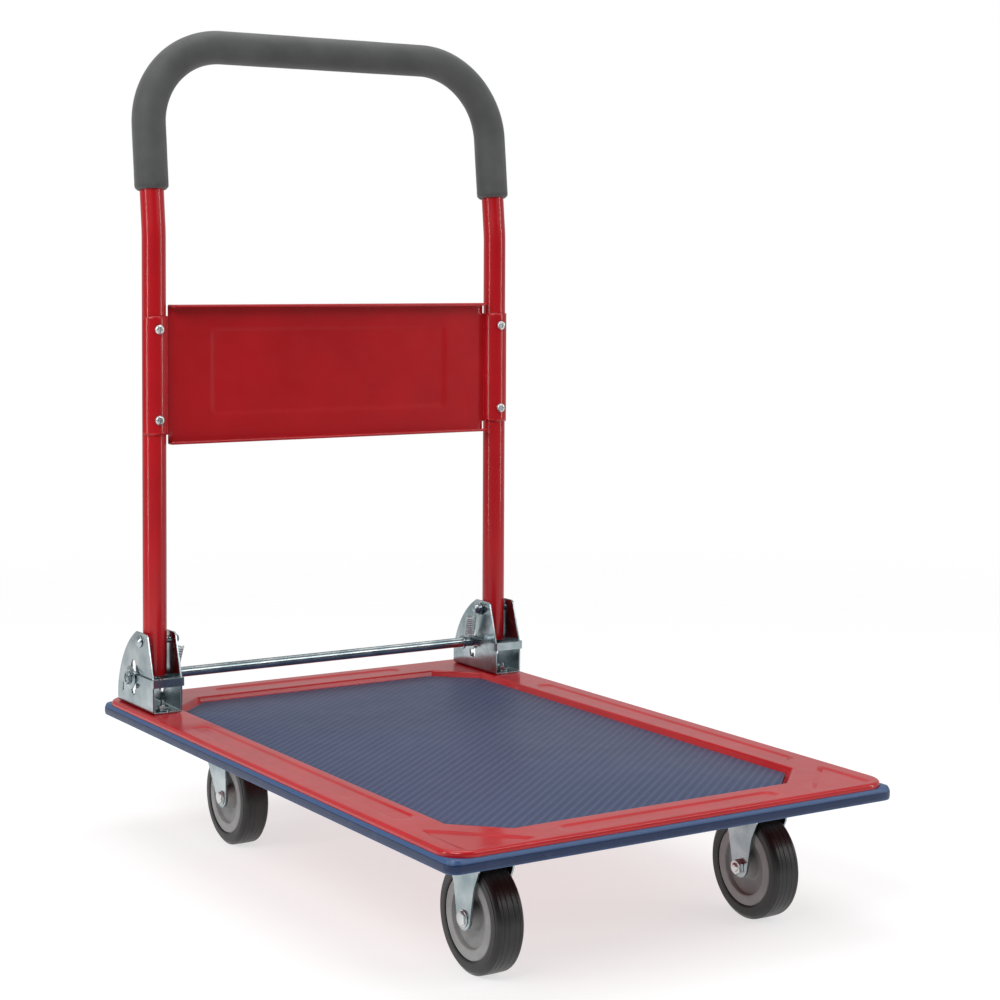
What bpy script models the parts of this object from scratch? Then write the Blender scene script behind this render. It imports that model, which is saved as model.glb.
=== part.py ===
"""Folding platform cart: pressed steel deck on four casters with a fold-down push handle.

Metres, +Z up. The origin is on the floor under the middle of the platform,
+X to the right seen from the free end, +Y towards the handle.
"""
import math

import bmesh
import bpy
from mathutils import Matrix, Vector

# ---------------------------------------------------------------- driving sizes
GAP = 0.0003                      # clearance kept between touching pieces

PLATFORM_HALF_WIDTH = 0.240       # over the bumper
PLATFORM_HALF_LENGTH = 0.370
BUMPER_THICKNESS = 0.0024
BUMPER_BOTTOM = 0.1195
BUMPER_TOP = 0.1312
BUMPER_CORNER_RADIUS = 0.012
DECK_CORNER_RADIUS = 0.026
CORNER_STEPS = 5                  # segments in one rounded corner

BORDER_TOP = 0.1365               # red border that frames the mat
SHEET = 0.0015                    # deck steel
EDGE_ROLL = 0.0030                # bend between the skirt and the border
DECK_HOLE_RADIUS = 0.0034
HOLE_REACH = 0.005                # half length of a cutter that passes one sheet
CHEEK_REACH = 0.030               # half length of a cutter that passes both cheeks
RECESS_FLOOR = 0.1292
MAT_TOP = 0.1315
MAT_HALF_WIDTH = 0.187
MAT_FRONT = -0.3185
MAT_REAR = 0.311
MAT_CHAMFER = 0.042
MAT_MARGIN = 0.0008
RECESS_SLOPE = 0.0035

LEG_X = 0.2135                    # handle tube
LEG_Y = 0.2846
TUBE_RADIUS = 0.0127
TUBE_WALL = 0.0015
TUBE_SIDES = 12
FOOT_Z = 0.1735
BEND_Z = 0.645                    # the legs lean back above this height
BEND_RADIUS = 0.15
LEAN = math.radians(6.2)
HANDLE_TOP_Z = 0.846
HANDLE_CORNER_RADIUS = 0.088
GRIP_RADIUS = 0.0182
GRIP_START = 0.045                # along the lean, from the bend

PANEL_BOTTOM = 0.419
PANEL_TOP = 0.568
PANEL_Y = 0.2860
PANEL_LIP = 0.0125
PANEL_SHEET = 0.0012
FLANGE_BOTTOM = 0.430
FLANGE_TOP = 0.556
SCREW_HEIGHTS = {"lower": 0.446, "upper": 0.542}
SCREW_HOLE_RADIUS = 0.0029
WRAP_INNER = TUBE_RADIUS + GAP + 0.0001   # flange bend round a leg
WRAP_OVERLAP = 0.010              # flange length buried in the panel web

BRACKET_INNER = 0.1965            # outer faces of the two side plates
BRACKET_OUTER = 0.2305
BRACKET_SHEET = 0.0020
BRACKET_BASE = BORDER_TOP + GAP
BRACKET_FRONT = 0.2515
BRACKET_REAR = 0.346
BRACKET_SHOULDER = 0.172
BRACKET_TOP = 0.2198
BRACKET_NOSE_Y = 0.2666
BRACKET_BACK_CENTRE = (0.2543, 0.1359)
BRACKET_BACK_RADIUS = 0.0931
BRACKET_BACK_ARC = (10.0, 64.0)
DECK_BOLT_Y = {"front": 0.2640, "rear": 0.3320}

PIVOT_Z = 0.210                   # axis the handle folds about
PIVOT_RADIUS = 0.0040
PIVOT_NUT_THICK = 0.0030
PIVOT_HOLE_RADIUS = PIVOT_RADIUS + 0.0004

ROD_Y = 0.303                     # foot release rod
ROD_Z = 0.169
ROD_RADIUS = 0.0055
ROD_TRAVEL = 0.0130
SLOT_HALF_WIDTH = ROD_RADIUS + 0.0005
SPRING_COIL = 0.0044
SPRING_WIRE = 0.0007
SPRING_TURNS = 7
SPRING_STEPS = 7                  # points in one turn of the coil
NOTCH_Y = 0.3314
NOTCH_Z = 0.1545
YOKE_SHEET = 0.0018
YOKE_GAP = 0.0004
YOKE_BOTTOM = 0.165
YOKE_TOP = 0.174
YOKE_FRONT = BRACKET_FRONT - YOKE_GAP - YOKE_SHEET

WHEEL_RADIUS = 0.050
WHEEL_HALF_WIDTH = 0.0145
WHEEL_SIDES = 20
WHEEL_X = 0.1515
FRONT_AXLE_Y = -0.2755
REAR_AXLE_Y = 0.2125
SWIVEL_OFFSET = 0.0325
AXLE_RADIUS = 0.0040
CHEEK_INNER = 0.0165
CHEEK_SHEET = 0.0020
CHEEK_END_RADIUS = 0.0105

MEMBER_TOP = RECESS_FLOOR - SHEET - GAP
MEMBER_SHEET = 0.0015
MEMBER_BOTTOM = 0.116
MEMBER_HALF_LENGTH = 0.205
MEMBER_HALF_WIDTH = 0.058
PLATE_TOP = MEMBER_TOP - MEMBER_SHEET - GAP
PLATE_THICK = 0.0025
PLATE_HALF_X = 0.0425
RACE_HEIGHT = 0.0060
CROWN_RADIUS = 0.026
CROWN_THICK = 0.0025
KINGPIN_RADIUS = 0.0050
CORE_RADIUS = 0.0375             # joint between the wheel centre and its tyre

SIDES = {"left": -1, "right": 1}


# ---------------------------------------------------------------- materials
def finish(name, color, roughness, metallic):
    """Make one Principled material."""
    material = bpy.data.materials.new(name)
    material.use_nodes = True
    shader = material.node_tree.nodes["Principled BSDF"]
    shader.inputs["Base Color"].default_value = (*color, 1.0)
    shader.inputs["Roughness"].default_value = roughness
    shader.inputs["Metallic"].default_value = metallic
    material.diffuse_color = (*color, 1.0)
    return material


# ---------------------------------------------------------------- mesh helpers
def add_object(name, mesh, material, sharp_angle=35.0):
    """Link a mesh as a named object with one material and smooth round faces."""
    mesh.materials.clear()
    mesh.materials.append(material)
    mesh.shade_smooth()
    mesh.set_sharp_from_angle(angle=math.radians(sharp_angle))
    thing = bpy.data.objects.new(name, mesh)
    bpy.context.scene.collection.objects.link(thing)
    return thing


def mesh_from(name, points, faces):
    """Build a mesh and turn its faces outwards."""
    mesh = bpy.data.meshes.new(name)
    mesh.from_pydata([tuple(point) for point in points], [], faces)
    work = bmesh.new()
    work.from_mesh(mesh)
    bmesh.ops.recalc_face_normals(work, faces=work.faces)
    work.to_mesh(mesh)
    work.free()
    return mesh


def loft(name, rings, closed_path=False, capped=True):
    """Join rings of equal point count into a skin, with flat end caps."""
    count = len(rings[0])
    points = [point for ring in rings for point in ring]
    faces = []
    spans = len(rings) if closed_path else len(rings) - 1
    for row in range(spans):
        here = row * count
        there = ((row + 1) % len(rings)) * count
        for step in range(count):
            after = (step + 1) % count
            faces.append((here + step, here + after, there + after, there + step))
    if capped and not closed_path:
        faces.append(tuple(range(count)))
        faces.append(tuple(range(len(points) - count, len(points))))
    return mesh_from(name, points, faces)


def plate(name, outline, axis, low, high):
    """Extrude a flat outline along X, Y or Z between two coordinates."""
    def place(level, first, second):
        if axis == "X":
            return (level, first, second)
        if axis == "Y":
            return (first, level, second)
        return (first, second, level)
    rings = [[place(level, a, b) for a, b in outline] for level in (low, high)]
    return loft(name, rings)


def box(name, low, high):
    """Rectangular block between two corners."""
    outline = [(low[0], low[1]), (high[0], low[1]), (high[0], high[1]), (low[0], high[1])]
    return plate(name, outline, "Z", low[2], high[2])


def turned(name, profile, centre, axis, sides, phase=0.0):
    """Turn a profile of (distance along the axis, radius) into a closed solid.

    A profile that starts and ends on the axis gives a plug; any other one is
    closed on itself and gives a ring.
    """
    along = {"X": Vector((1, 0, 0)), "Y": Vector((0, 1, 0)), "Z": Vector((0, 0, 1))}[axis]
    first = {"X": Vector((0, 0, -1)), "Y": Vector((0, 0, -1)), "Z": Vector((1, 0, 0))}[axis]
    second = along.cross(first)
    centre = Vector(centre)
    plug = profile[0][1] == 0.0
    body = profile[1:-1] if plug else profile
    rings = []
    for distance, radius in body:
        ring = []
        for step in range(sides):
            angle = phase + 2.0 * math.pi * step / sides
            spoke = first * math.cos(angle) + second * math.sin(angle)
            ring.append(centre + along * distance + spoke * radius)
        rings.append(ring)
    return loft(name, rings, closed_path=not plug, capped=plug)


def combine(mesh, other, operation):
    """Boolean two meshes in place with the exact solver and return the result."""
    base = bpy.data.objects.new("base", mesh)
    tool = bpy.data.objects.new("tool", other)
    bpy.context.scene.collection.objects.link(base)
    bpy.context.scene.collection.objects.link(tool)
    modifier = base.modifiers.new("cut", "BOOLEAN")
    modifier.operation = operation
    modifier.solver = "EXACT"
    modifier.object = tool
    bpy.context.view_layer.update()
    evaluated = base.evaluated_get(bpy.context.evaluated_depsgraph_get())
    result = bpy.data.meshes.new_from_object(evaluated)
    bpy.data.objects.remove(base)
    bpy.data.objects.remove(tool)
    return result


def drilled(mesh, centre, axis, radius, reach, sides=16):
    """Drill a round hole right through a mesh."""
    profile = [(-reach, 0.0), (-reach, radius), (reach, radius), (reach, 0.0)]
    return combine(mesh, turned("drill", profile, centre, axis, sides), "DIFFERENCE")


def rest_origin(thing, point):
    """Put an object's origin on a point without moving its surface."""
    thing.data.transform(Matrix.Translation(-Vector(point)))
    thing.location = point
    return thing


def arc(centre, radius, start, end, steps):
    """Points on a circle, angles in degrees."""
    points = []
    for step in range(steps + 1):
        angle = math.radians(start + (end - start) * step / steps)
        points.append((centre[0] + radius * math.cos(angle), centre[1] + radius * math.sin(angle)))
    return points


# ---------------------------------------------------------------- platform
def rounded_ring(half_x, half_y, radius, z):
    """Rounded rectangle about the origin, with the same point count as the octagon."""
    ring = []
    for turn, (sx, sy) in enumerate(((1, 1), (-1, 1), (-1, -1), (1, -1))):
        centre = (sx * (half_x - radius), sy * (half_y - radius))
        for x, y in arc(centre, radius, 90.0 * turn, 90.0 * turn + 90.0, CORNER_STEPS):
            ring.append((x, y, z))
    return ring


def octagon_ring(half_x, front, rear, chamfer, z):
    """Rectangle with straight cut corners, in the rounded ring's point order."""
    ring = []
    ends = (
        ((half_x, rear - chamfer), (half_x - chamfer, rear)),
        ((-half_x + chamfer, rear), (-half_x, rear - chamfer)),
        ((-half_x, front + chamfer), (-half_x + chamfer, front)),
        ((half_x - chamfer, front), (half_x, front + chamfer)),
    )
    for start, end in ends:
        for step in range(CORNER_STEPS + 1):
            share = step / CORNER_STEPS
            x = start[0] + (end[0] - start[0]) * share
            y = start[1] + (end[1] - start[1]) * share
            ring.append((x, y, z))
    return ring


def deck_side(inset, drop, spread):
    """Rings of one face of the pressed deck sheet, from skirt to recess floor."""
    half_x = PLATFORM_HALF_WIDTH - BUMPER_THICKNESS - GAP - inset
    half_y = PLATFORM_HALF_LENGTH - BUMPER_THICKNESS - GAP - inset
    radius = DECK_CORNER_RADIUS - inset
    top = BORDER_TOP - drop
    floor_half = MAT_HALF_WIDTH + MAT_MARGIN + spread
    wall_half = floor_half + RECESS_SLOPE
    grow = MAT_MARGIN + spread
    return [
        rounded_ring(half_x, half_y, radius, BUMPER_BOTTOM),
        rounded_ring(half_x, half_y, radius, top - EDGE_ROLL),
        rounded_ring(half_x - EDGE_ROLL * 0.3, half_y - EDGE_ROLL * 0.3, radius - EDGE_ROLL * 0.3, top - EDGE_ROLL * 0.3),
        rounded_ring(half_x - EDGE_ROLL, half_y - EDGE_ROLL, radius - EDGE_ROLL, top),
        octagon_ring(wall_half, MAT_FRONT - grow - RECESS_SLOPE, MAT_REAR + grow + RECESS_SLOPE,
                     MAT_CHAMFER, top),
        octagon_ring(floor_half, MAT_FRONT - grow, MAT_REAR + grow, MAT_CHAMFER, RECESS_FLOOR - drop),
    ]


def build_deck_pan(material):
    """Pressed tray: skirt, rolled edge, raised border and sunk floor, one sheet thick."""
    upper = deck_side(0.0, 0.0, 0.0)
    lower = deck_side(SHEET, SHEET, SHEET * 0.6)
    count = len(upper[0])
    rings = upper + lower[::-1]
    points = [point for ring in rings for point in ring]
    faces = []
    for row in range(len(rings)):
        if row == len(upper) - 1:
            continue
        here = row * count
        there = ((row + 1) % len(rings)) * count
        for step in range(count):
            after = (step + 1) % count
            faces.append((here + step, here + after, there + after, there + step))
    first_floor = (len(upper) - 1) * count
    second_floor = len(upper) * count
    faces.append(tuple(range(first_floor, first_floor + count)))
    faces.append(tuple(range(second_floor, second_floor + count)))
    mesh = mesh_from("deck_pan", points, faces)
    for sign in SIDES.values():
        for y in DECK_BOLT_Y.values():
            mesh = drilled(mesh, (sign * LEG_X, y, BORDER_TOP), "Z", DECK_HOLE_RADIUS, HOLE_REACH, 12)
    return add_object("deck_pan", mesh, material)


def build_deck_mat(material):
    """Cut-corner mat that lies in the deck's recess."""
    rings = []
    for z in (RECESS_FLOOR + GAP, MAT_TOP):
        rings.append(octagon_ring(MAT_HALF_WIDTH, MAT_FRONT, MAT_REAR, MAT_CHAMFER, z))
    return add_object("deck_mat", loft("deck_mat", rings), material)


def build_bumper(material):
    """Soft strip with a bulging outer face, wrapped right round the skirt."""
    height = BUMPER_TOP - BUMPER_BOTTOM
    outer = ((0.0010, 0.0), (0.0, 0.2), (0.0, 0.6), (0.0016, 1.0))
    rings = []
    for inset, share in outer:
        rings.append(rounded_ring(PLATFORM_HALF_WIDTH - inset, PLATFORM_HALF_LENGTH - inset,
                                  BUMPER_CORNER_RADIUS - inset, BUMPER_BOTTOM + height * share))
    for share in (1.0, 0.0):
        rings.append(rounded_ring(PLATFORM_HALF_WIDTH - BUMPER_THICKNESS,
                                  PLATFORM_HALF_LENGTH - BUMPER_THICKNESS,
                                  DECK_CORNER_RADIUS + GAP, BUMPER_BOTTOM + height * share))
    mesh = loft("bumper_strip", rings, closed_path=True)
    return add_object("bumper_strip", mesh, material)


def build_channel(name, middle_y, half_width, material):
    """Folded channel under the deck, open downwards, lying across the platform."""
    inner = half_width - MEMBER_SHEET
    under = MEMBER_TOP - MEMBER_SHEET
    outline = [
        (middle_y - half_width, MEMBER_BOTTOM),
        (middle_y - inner, MEMBER_BOTTOM),
        (middle_y - inner, under),
        (middle_y + inner, under),
        (middle_y + inner, MEMBER_BOTTOM),
        (middle_y + half_width, MEMBER_BOTTOM),
        (middle_y + half_width, MEMBER_TOP),
        (middle_y - half_width, MEMBER_TOP),
    ]
    mesh = plate(name, outline, "X", -MEMBER_HALF_LENGTH, MEMBER_HALF_LENGTH)
    return add_object(name, mesh, material)


# ---------------------------------------------------------------- handle
def lean_point(x, along):
    """Point on the leaning part of the handle, a distance along the lean from the bend."""
    return Vector((x, LEG_Y + along * math.sin(LEAN), BEND_Z + along * math.cos(LEAN)))


def handle_path(start):
    """Centre line from one leg to the other, from start: 'foot' or 'grip'."""
    top = (HANDLE_TOP_Z - BEND_Z) / math.cos(LEAN)
    half = []
    if start == "foot":
        half.append(Vector((LEG_X, LEG_Y, FOOT_Z)))
        tangent = BEND_RADIUS * math.tan(LEAN / 2.0)
        for step in range(4):
            angle = LEAN * step / 3.0
            y = LEG_Y + BEND_RADIUS * (1.0 - math.cos(angle))
            z = BEND_Z - tangent + BEND_RADIUS * math.sin(angle)
            half.append(Vector((LEG_X, y, z)))
    half.append(lean_point(LEG_X, GRIP_START))
    for x, along in arc((LEG_X - HANDLE_CORNER_RADIUS, top - HANDLE_CORNER_RADIUS),
                        HANDLE_CORNER_RADIUS, 0.0, 90.0, 8):
        half.append(lean_point(x, along))
    other = [Vector((-point.x, point.y, point.z)) for point in reversed(half)]
    return half + other


def swept(path, radius, sides):
    """Rings of a round section carried along a path that leans back in its own plane."""
    rings = []
    for index, point in enumerate(path):
        before = path[max(index - 1, 0)]
        after = path[min(index + 1, len(path) - 1)]
        into = (point - before).normalized() if index else (after - point).normalized()
        out = (after - point).normalized() if index < len(path) - 1 else into
        tangent = (into + out).normalized()
        stretch = 1.0 / max(tangent.dot(into), 0.5)
        back = Vector((0.0, math.cos(LEAN), -math.sin(LEAN)))
        back = (back - tangent * back.dot(tangent)).normalized()
        side = tangent.cross(back).normalized()
        ring = []
        for step in range(sides):
            angle = 2.0 * math.pi * step / sides
            ring.append(point + side * (radius * stretch * math.cos(angle)) + back * (radius * math.sin(angle)))
        rings.append(ring)
    return rings


def hollow(name, path, outer, inner, sides):
    """Tube with open ends along a path."""
    skin = swept(path, outer, sides)
    bore = swept(path, inner, sides)
    return loft(name, skin + bore[::-1], closed_path=True)


def build_handle_tube(material):
    """One bent steel tube, drilled across both feet for the pivot bolts."""
    mesh = hollow("handle_tube", handle_path("foot"), TUBE_RADIUS, TUBE_RADIUS - TUBE_WALL, TUBE_SIDES)
    for sign in SIDES.values():
        mesh = drilled(mesh, (sign * LEG_X, LEG_Y, PIVOT_Z), "X", PIVOT_HOLE_RADIUS, CHEEK_REACH)
        for height in SCREW_HEIGHTS.values():
            mesh = drilled(mesh, (sign * LEG_X, LEG_Y - TUBE_RADIUS, height), "Y", SCREW_HOLE_RADIUS, HOLE_REACH, 8)
    return add_object("handle_tube", mesh, material)


def build_handle_grip(material):
    """Foam sleeve over the top bow."""
    mesh = hollow("handle_grip", handle_path("grip"), GRIP_RADIUS, TUBE_RADIUS + GAP, TUBE_SIDES)
    return add_object("handle_grip", mesh, material)


def wrap_outline(sign):
    """Strip of sheet that leaves the panel and wraps the front half of one leg."""
    inner = WRAP_INNER
    outer = inner + PANEL_SHEET
    web_back = PANEL_Y + 0.0002
    web_front = web_back - PANEL_SHEET + 0.0004
    leg = (LEG_X, LEG_Y)
    back_line = [(LEG_X - inner - WRAP_OVERLAP, web_back), (LEG_X - inner, web_back)]
    round_in = arc(leg, inner, 180.0, 360.0, 10)
    round_out = arc(leg, outer, 360.0, 180.0, 10)
    front_line = [(LEG_X - outer, web_front), (LEG_X - inner - WRAP_OVERLAP, web_front)]
    outline = back_line + round_in + round_out[:-1] + front_line
    return [(sign * x, y) for x, y in outline]


def build_handle_panel(material):
    """Sheet panel with hemmed top and bottom lips and two end flanges round the legs."""
    half = LEG_X - TUBE_RADIUS - 0.0065
    front = PANEL_Y - PANEL_LIP
    outline = [
        (front, PANEL_BOTTOM),
        (PANEL_Y, PANEL_BOTTOM),
        (PANEL_Y, PANEL_TOP),
        (front, PANEL_TOP),
        (front, PANEL_TOP - PANEL_SHEET),
        (PANEL_Y - PANEL_SHEET, PANEL_TOP - PANEL_SHEET),
        (PANEL_Y - PANEL_SHEET, PANEL_BOTTOM + PANEL_SHEET),
        (front, PANEL_BOTTOM + PANEL_SHEET),
    ]
    mesh = plate("handle_panel", outline, "X", -half, half)
    for sign in SIDES.values():
        wrap = plate("wrap", wrap_outline(sign), "Z", FLANGE_BOTTOM, FLANGE_TOP)
        mesh = combine(mesh, wrap, "UNION")
        for height in SCREW_HEIGHTS.values():
            mesh = drilled(mesh, (sign * LEG_X, LEG_Y - TUBE_RADIUS, height), "Y", SCREW_HOLE_RADIUS, HOLE_REACH, 8)
    return add_object("handle_panel", mesh, material)


def build_panel_screw(name, sign, height, material):
    """Pan-head screw that holds the panel's flange to a leg."""
    seat = LEG_Y - WRAP_INNER - PANEL_SHEET - GAP
    profile = [
        (0.0075, 0.0),
        (0.0075, 0.0025),
        (0.0, 0.0025),
        (0.0, 0.0052),
        (-0.0016, 0.0048),
        (-0.0030, 0.0030),
        (-0.0030, 0.0),
    ]
    mesh = turned(name, profile, (sign * LEG_X, seat, height), "Y", 12)
    return add_object(name, mesh, material)


# ---------------------------------------------------------------- hinge brackets
def cheek_outline():
    """Side plate of a hinge bracket: upright front, sloped nose, flat top, curved back."""
    back = arc(BRACKET_BACK_CENTRE, BRACKET_BACK_RADIUS, *BRACKET_BACK_ARC, 8)
    return [
        (BRACKET_FRONT, BRACKET_BASE),
        (BRACKET_REAR, BRACKET_BASE),
        *back,
        (BRACKET_NOSE_Y, BRACKET_TOP),
        (BRACKET_FRONT, BRACKET_SHOULDER),
    ]


def slot_cutter(sign):
    """Upright slot that the release rod slides in, through both side plates."""
    low = ROD_Z - ROD_TRAVEL - 0.0005
    high = ROD_Z + 0.0130
    outline = arc((ROD_Y, low), SLOT_HALF_WIDTH, 180.0, 360.0, 6)
    outline += arc((ROD_Y, high), SLOT_HALF_WIDTH, 0.0, 180.0, 6)
    reach = sorted((sign * (BRACKET_INNER - 0.005), sign * (BRACKET_OUTER + 0.005)))
    return plate("slot", outline, "X", reach[0], reach[1])


def notch_cutter(sign):
    """Small upright slot near the back edge of the outer side plate."""
    outline = arc((NOTCH_Y, NOTCH_Z - 0.004), 0.0014, 180.0, 360.0, 4)
    outline += arc((NOTCH_Y, NOTCH_Z + 0.004), 0.0014, 0.0, 180.0, 4)
    reach = sorted((sign * (BRACKET_OUTER - 0.005), sign * (BRACKET_OUTER + 0.005)))
    return plate("notch", outline, "X", reach[0], reach[1])


def build_hinge_bracket(name, sign, material):
    """Folded channel: a base on the deck and two upright side plates."""
    levels = sorted((sign * BRACKET_INNER, sign * BRACKET_OUTER))
    mesh = box(name, (levels[0], BRACKET_FRONT, BRACKET_BASE),
               (levels[1], BRACKET_REAR, BRACKET_BASE + BRACKET_SHEET))
    for edge in (levels[0], levels[1] - BRACKET_SHEET):
        cheek = plate("cheek", cheek_outline(), "X", edge, edge + BRACKET_SHEET)
        mesh = combine(mesh, cheek, "UNION")
    mesh = combine(mesh, slot_cutter(sign), "DIFFERENCE")
    mesh = combine(mesh, notch_cutter(sign), "DIFFERENCE")
    mesh = drilled(mesh, (sign * LEG_X, LEG_Y, PIVOT_Z), "X", PIVOT_RADIUS + GAP, CHEEK_REACH)
    for y in DECK_BOLT_Y.values():
        mesh = drilled(mesh, (sign * LEG_X, y, BRACKET_BASE), "Z", DECK_HOLE_RADIUS, HOLE_REACH, 12)
    return add_object(name, mesh, material)


def build_pivot_bolt(name, sign, material):
    """Domed bolt across the bracket, long enough on the inside to hold the spring."""
    head = BRACKET_OUTER + GAP - LEG_X
    end = BRACKET_INNER - 2.0 * GAP - PIVOT_NUT_THICK - LEG_X
    profile = [
        (head + 0.0040, 0.0),
        (head + 0.0036, 0.0035),
        (head + 0.0020, 0.0058),
        (head, 0.0065),
        (head, PIVOT_RADIUS),
        (end, PIVOT_RADIUS),
        (end, 0.0055),
        (end - 0.0030, 0.0055),
        (end - 0.0060, 0.0038),
        (end - 0.0070, 0.0),
    ]
    profile = [(sign * distance, radius) for distance, radius in profile]
    mesh = turned(name, profile, (sign * LEG_X, LEG_Y, PIVOT_Z), "X", 16)
    return add_object(name, mesh, material)


def build_hex_nut(name, centre, axis, thickness, across, bore, material):
    """Hexagon nut whose far face is a thickness from its centre point along the axis."""
    corner = across / 2.0 / math.cos(math.radians(30.0))
    hole = bore / math.cos(math.radians(30.0))
    profile = [(0.0, hole), (0.0, corner), (thickness, corner), (thickness, hole)]
    return add_object(name, turned(name, profile, centre, axis, 6), material)


def build_deck_bolt(name, sign, y, material):
    """Bolt up through the deck border and the bracket's base."""
    seat = BORDER_TOP - SHEET - GAP
    profile = [
        (-0.0035, 0.0),
        (-0.0035, 0.0058),
        (0.0, 0.0062),
        (0.0, 0.0030),
        (0.0145, 0.0030),
        (0.0145, 0.0),
    ]
    mesh = turned(name, profile, (sign * LEG_X, y, seat), "Z", 12)
    return add_object(name, mesh, material)


# ---------------------------------------------------------------- foot release
def rod_half_profile():
    """Radius of the release rod from its middle to one end."""
    collar = BRACKET_INNER - 0.0130
    step = BRACKET_OUTER + YOKE_GAP + YOKE_SHEET + GAP
    return [
        (collar - 0.0020, ROD_RADIUS),
        (collar - 0.0020, 0.0078),
        (collar, 0.0078),
        (collar, ROD_RADIUS),
        (step, ROD_RADIUS),
        (step, PIVOT_RADIUS),
        (step + 0.0060, PIVOT_RADIUS),
    ]


def build_release_rod(material):
    """Round bar across the cart behind the feet of the handle."""
    half = rod_half_profile()
    left = [(-distance, radius) for distance, radius in reversed(half)]
    profile = [(left[0][0], 0.0)] + left + half + [(half[-1][0], 0.0)]
    mesh = turned("release_rod", profile, (0.0, ROD_Y, ROD_Z), "X", 12)
    return add_object("release_rod", mesh, material)


def build_lock_yoke(name, sign, material):
    """Flat strap bent round the front of a bracket and carried by the rod."""
    inner = BRACKET_INNER - YOKE_GAP
    outer = BRACKET_OUTER + YOKE_GAP
    rear = ROD_Y
    outline = [
        (inner - YOKE_SHEET, rear),
        (inner - YOKE_SHEET, YOKE_FRONT),
        (outer + YOKE_SHEET, YOKE_FRONT),
        (outer + YOKE_SHEET, rear),
        (outer, rear),
        (outer, YOKE_FRONT + YOKE_SHEET),
        (inner, YOKE_FRONT + YOKE_SHEET),
        (inner, rear),
    ]
    mesh = plate(name, [(sign * x, y) for x, y in outline], "Z", YOKE_BOTTOM, YOKE_TOP)
    for edge in (inner - YOKE_SHEET, outer):
        profile = [(0.0, 0.0), (0.0, 0.0095), (YOKE_SHEET, 0.0095), (YOKE_SHEET, 0.0)]
        profile = [(sign * distance, radius) for distance, radius in profile]
        ear = turned("ear", profile, (sign * edge, ROD_Y, ROD_Z), "X", 20)
        mesh = combine(mesh, ear, "UNION")
    middle = sign * (inner + outer) / 2.0
    mesh = drilled(mesh, (middle, ROD_Y, ROD_Z), "X", ROD_RADIUS + GAP, CHEEK_REACH)
    return add_object(name, mesh, material)


def build_rod_end_nut(name, sign, material):
    """Nut with a broad washer face on the end of the rod."""
    seat = BRACKET_OUTER + YOKE_GAP + YOKE_SHEET + 2.0 * GAP
    bore = PIVOT_RADIUS + GAP
    profile = [(0.0, bore), (0.0, 0.0125), (0.0012, 0.0125), (0.0030, 0.0075), (0.0058, 0.0065), (0.0058, bore)]
    profile = [(sign * distance, radius) for distance, radius in profile]
    mesh = turned(name, profile, (sign * seat, ROD_Y, ROD_Z), "X", 18)
    return add_object(name, mesh, material)


def build_latch_spring(name, sign, material):
    """Close-wound extension spring from the pivot bolt down to the rod."""
    top = Vector((sign * (BRACKET_INNER - 0.0110), LEG_Y + 0.0028, PIVOT_Z - 0.0076))
    bottom = Vector((sign * (BRACKET_INNER - 0.0080), ROD_Y - 0.0075, ROD_Z + 0.0075))
    along = (bottom - top).normalized()
    first = along.cross(Vector((0, 1, 0))).normalized()
    second = along.cross(first)
    rings = []
    for index in range(SPRING_TURNS * SPRING_STEPS + 1):
        angle = 2.0 * math.pi * index / SPRING_STEPS
        spoke = first * math.cos(angle) + second * math.sin(angle)
        centre = top.lerp(bottom, index / (SPRING_TURNS * SPRING_STEPS)) + spoke * SPRING_COIL
        ring = []
        for corner in range(4):
            turn = 2.0 * math.pi * corner / 4
            ring.append(centre + spoke * (SPRING_WIRE * math.cos(turn)) + along * (SPRING_WIRE * math.sin(turn)))
        rings.append(ring)
    return add_object(name, loft(name, rings), material)


# ---------------------------------------------------------------- casters
def fixed_cheek_outline(axle_y):
    """Side cheek of a fixed caster: broad at the plate, round at the axle."""
    top = PLATE_TOP - PLATE_THICK * 0.5
    outline = arc((axle_y, WHEEL_RADIUS), CHEEK_END_RADIUS, 195.0, 345.0, 8)
    outline += [(axle_y + 0.0190, 0.088), (axle_y + 0.0245, 0.104), (axle_y + 0.0245, top)]
    outline += [(axle_y - 0.0245, top), (axle_y - 0.0245, 0.104), (axle_y - 0.0190, 0.088)]
    return outline


def swivel_cheek_outline(axle_y):
    """Side cheek of a swivel caster: upright in front, raked back to the crown."""
    top = crown_top() - CROWN_THICK * 0.5
    pivot = axle_y + SWIVEL_OFFSET
    outline = arc((axle_y, WHEEL_RADIUS), CHEEK_END_RADIUS, 180.0, 330.0, 8)
    outline += [(pivot + 0.0130, 0.104), (pivot + 0.0170, top), (axle_y - 0.0040, top)]
    outline += [(axle_y - 0.0095, 0.100)]
    return outline


def crown_top():
    """Height of the top face of a swivel fork."""
    return PLATE_TOP - PLATE_THICK - GAP - RACE_HEIGHT - GAP


def add_cheeks(mesh, outline, wheel_x):
    """Join the two side cheeks to a caster's plate or crown."""
    for edge in (wheel_x - CHEEK_INNER - CHEEK_SHEET, wheel_x + CHEEK_INNER):
        cheek = plate("cheek", outline, "X", edge, edge + CHEEK_SHEET)
        mesh = combine(mesh, cheek, "UNION")
    return mesh


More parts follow.
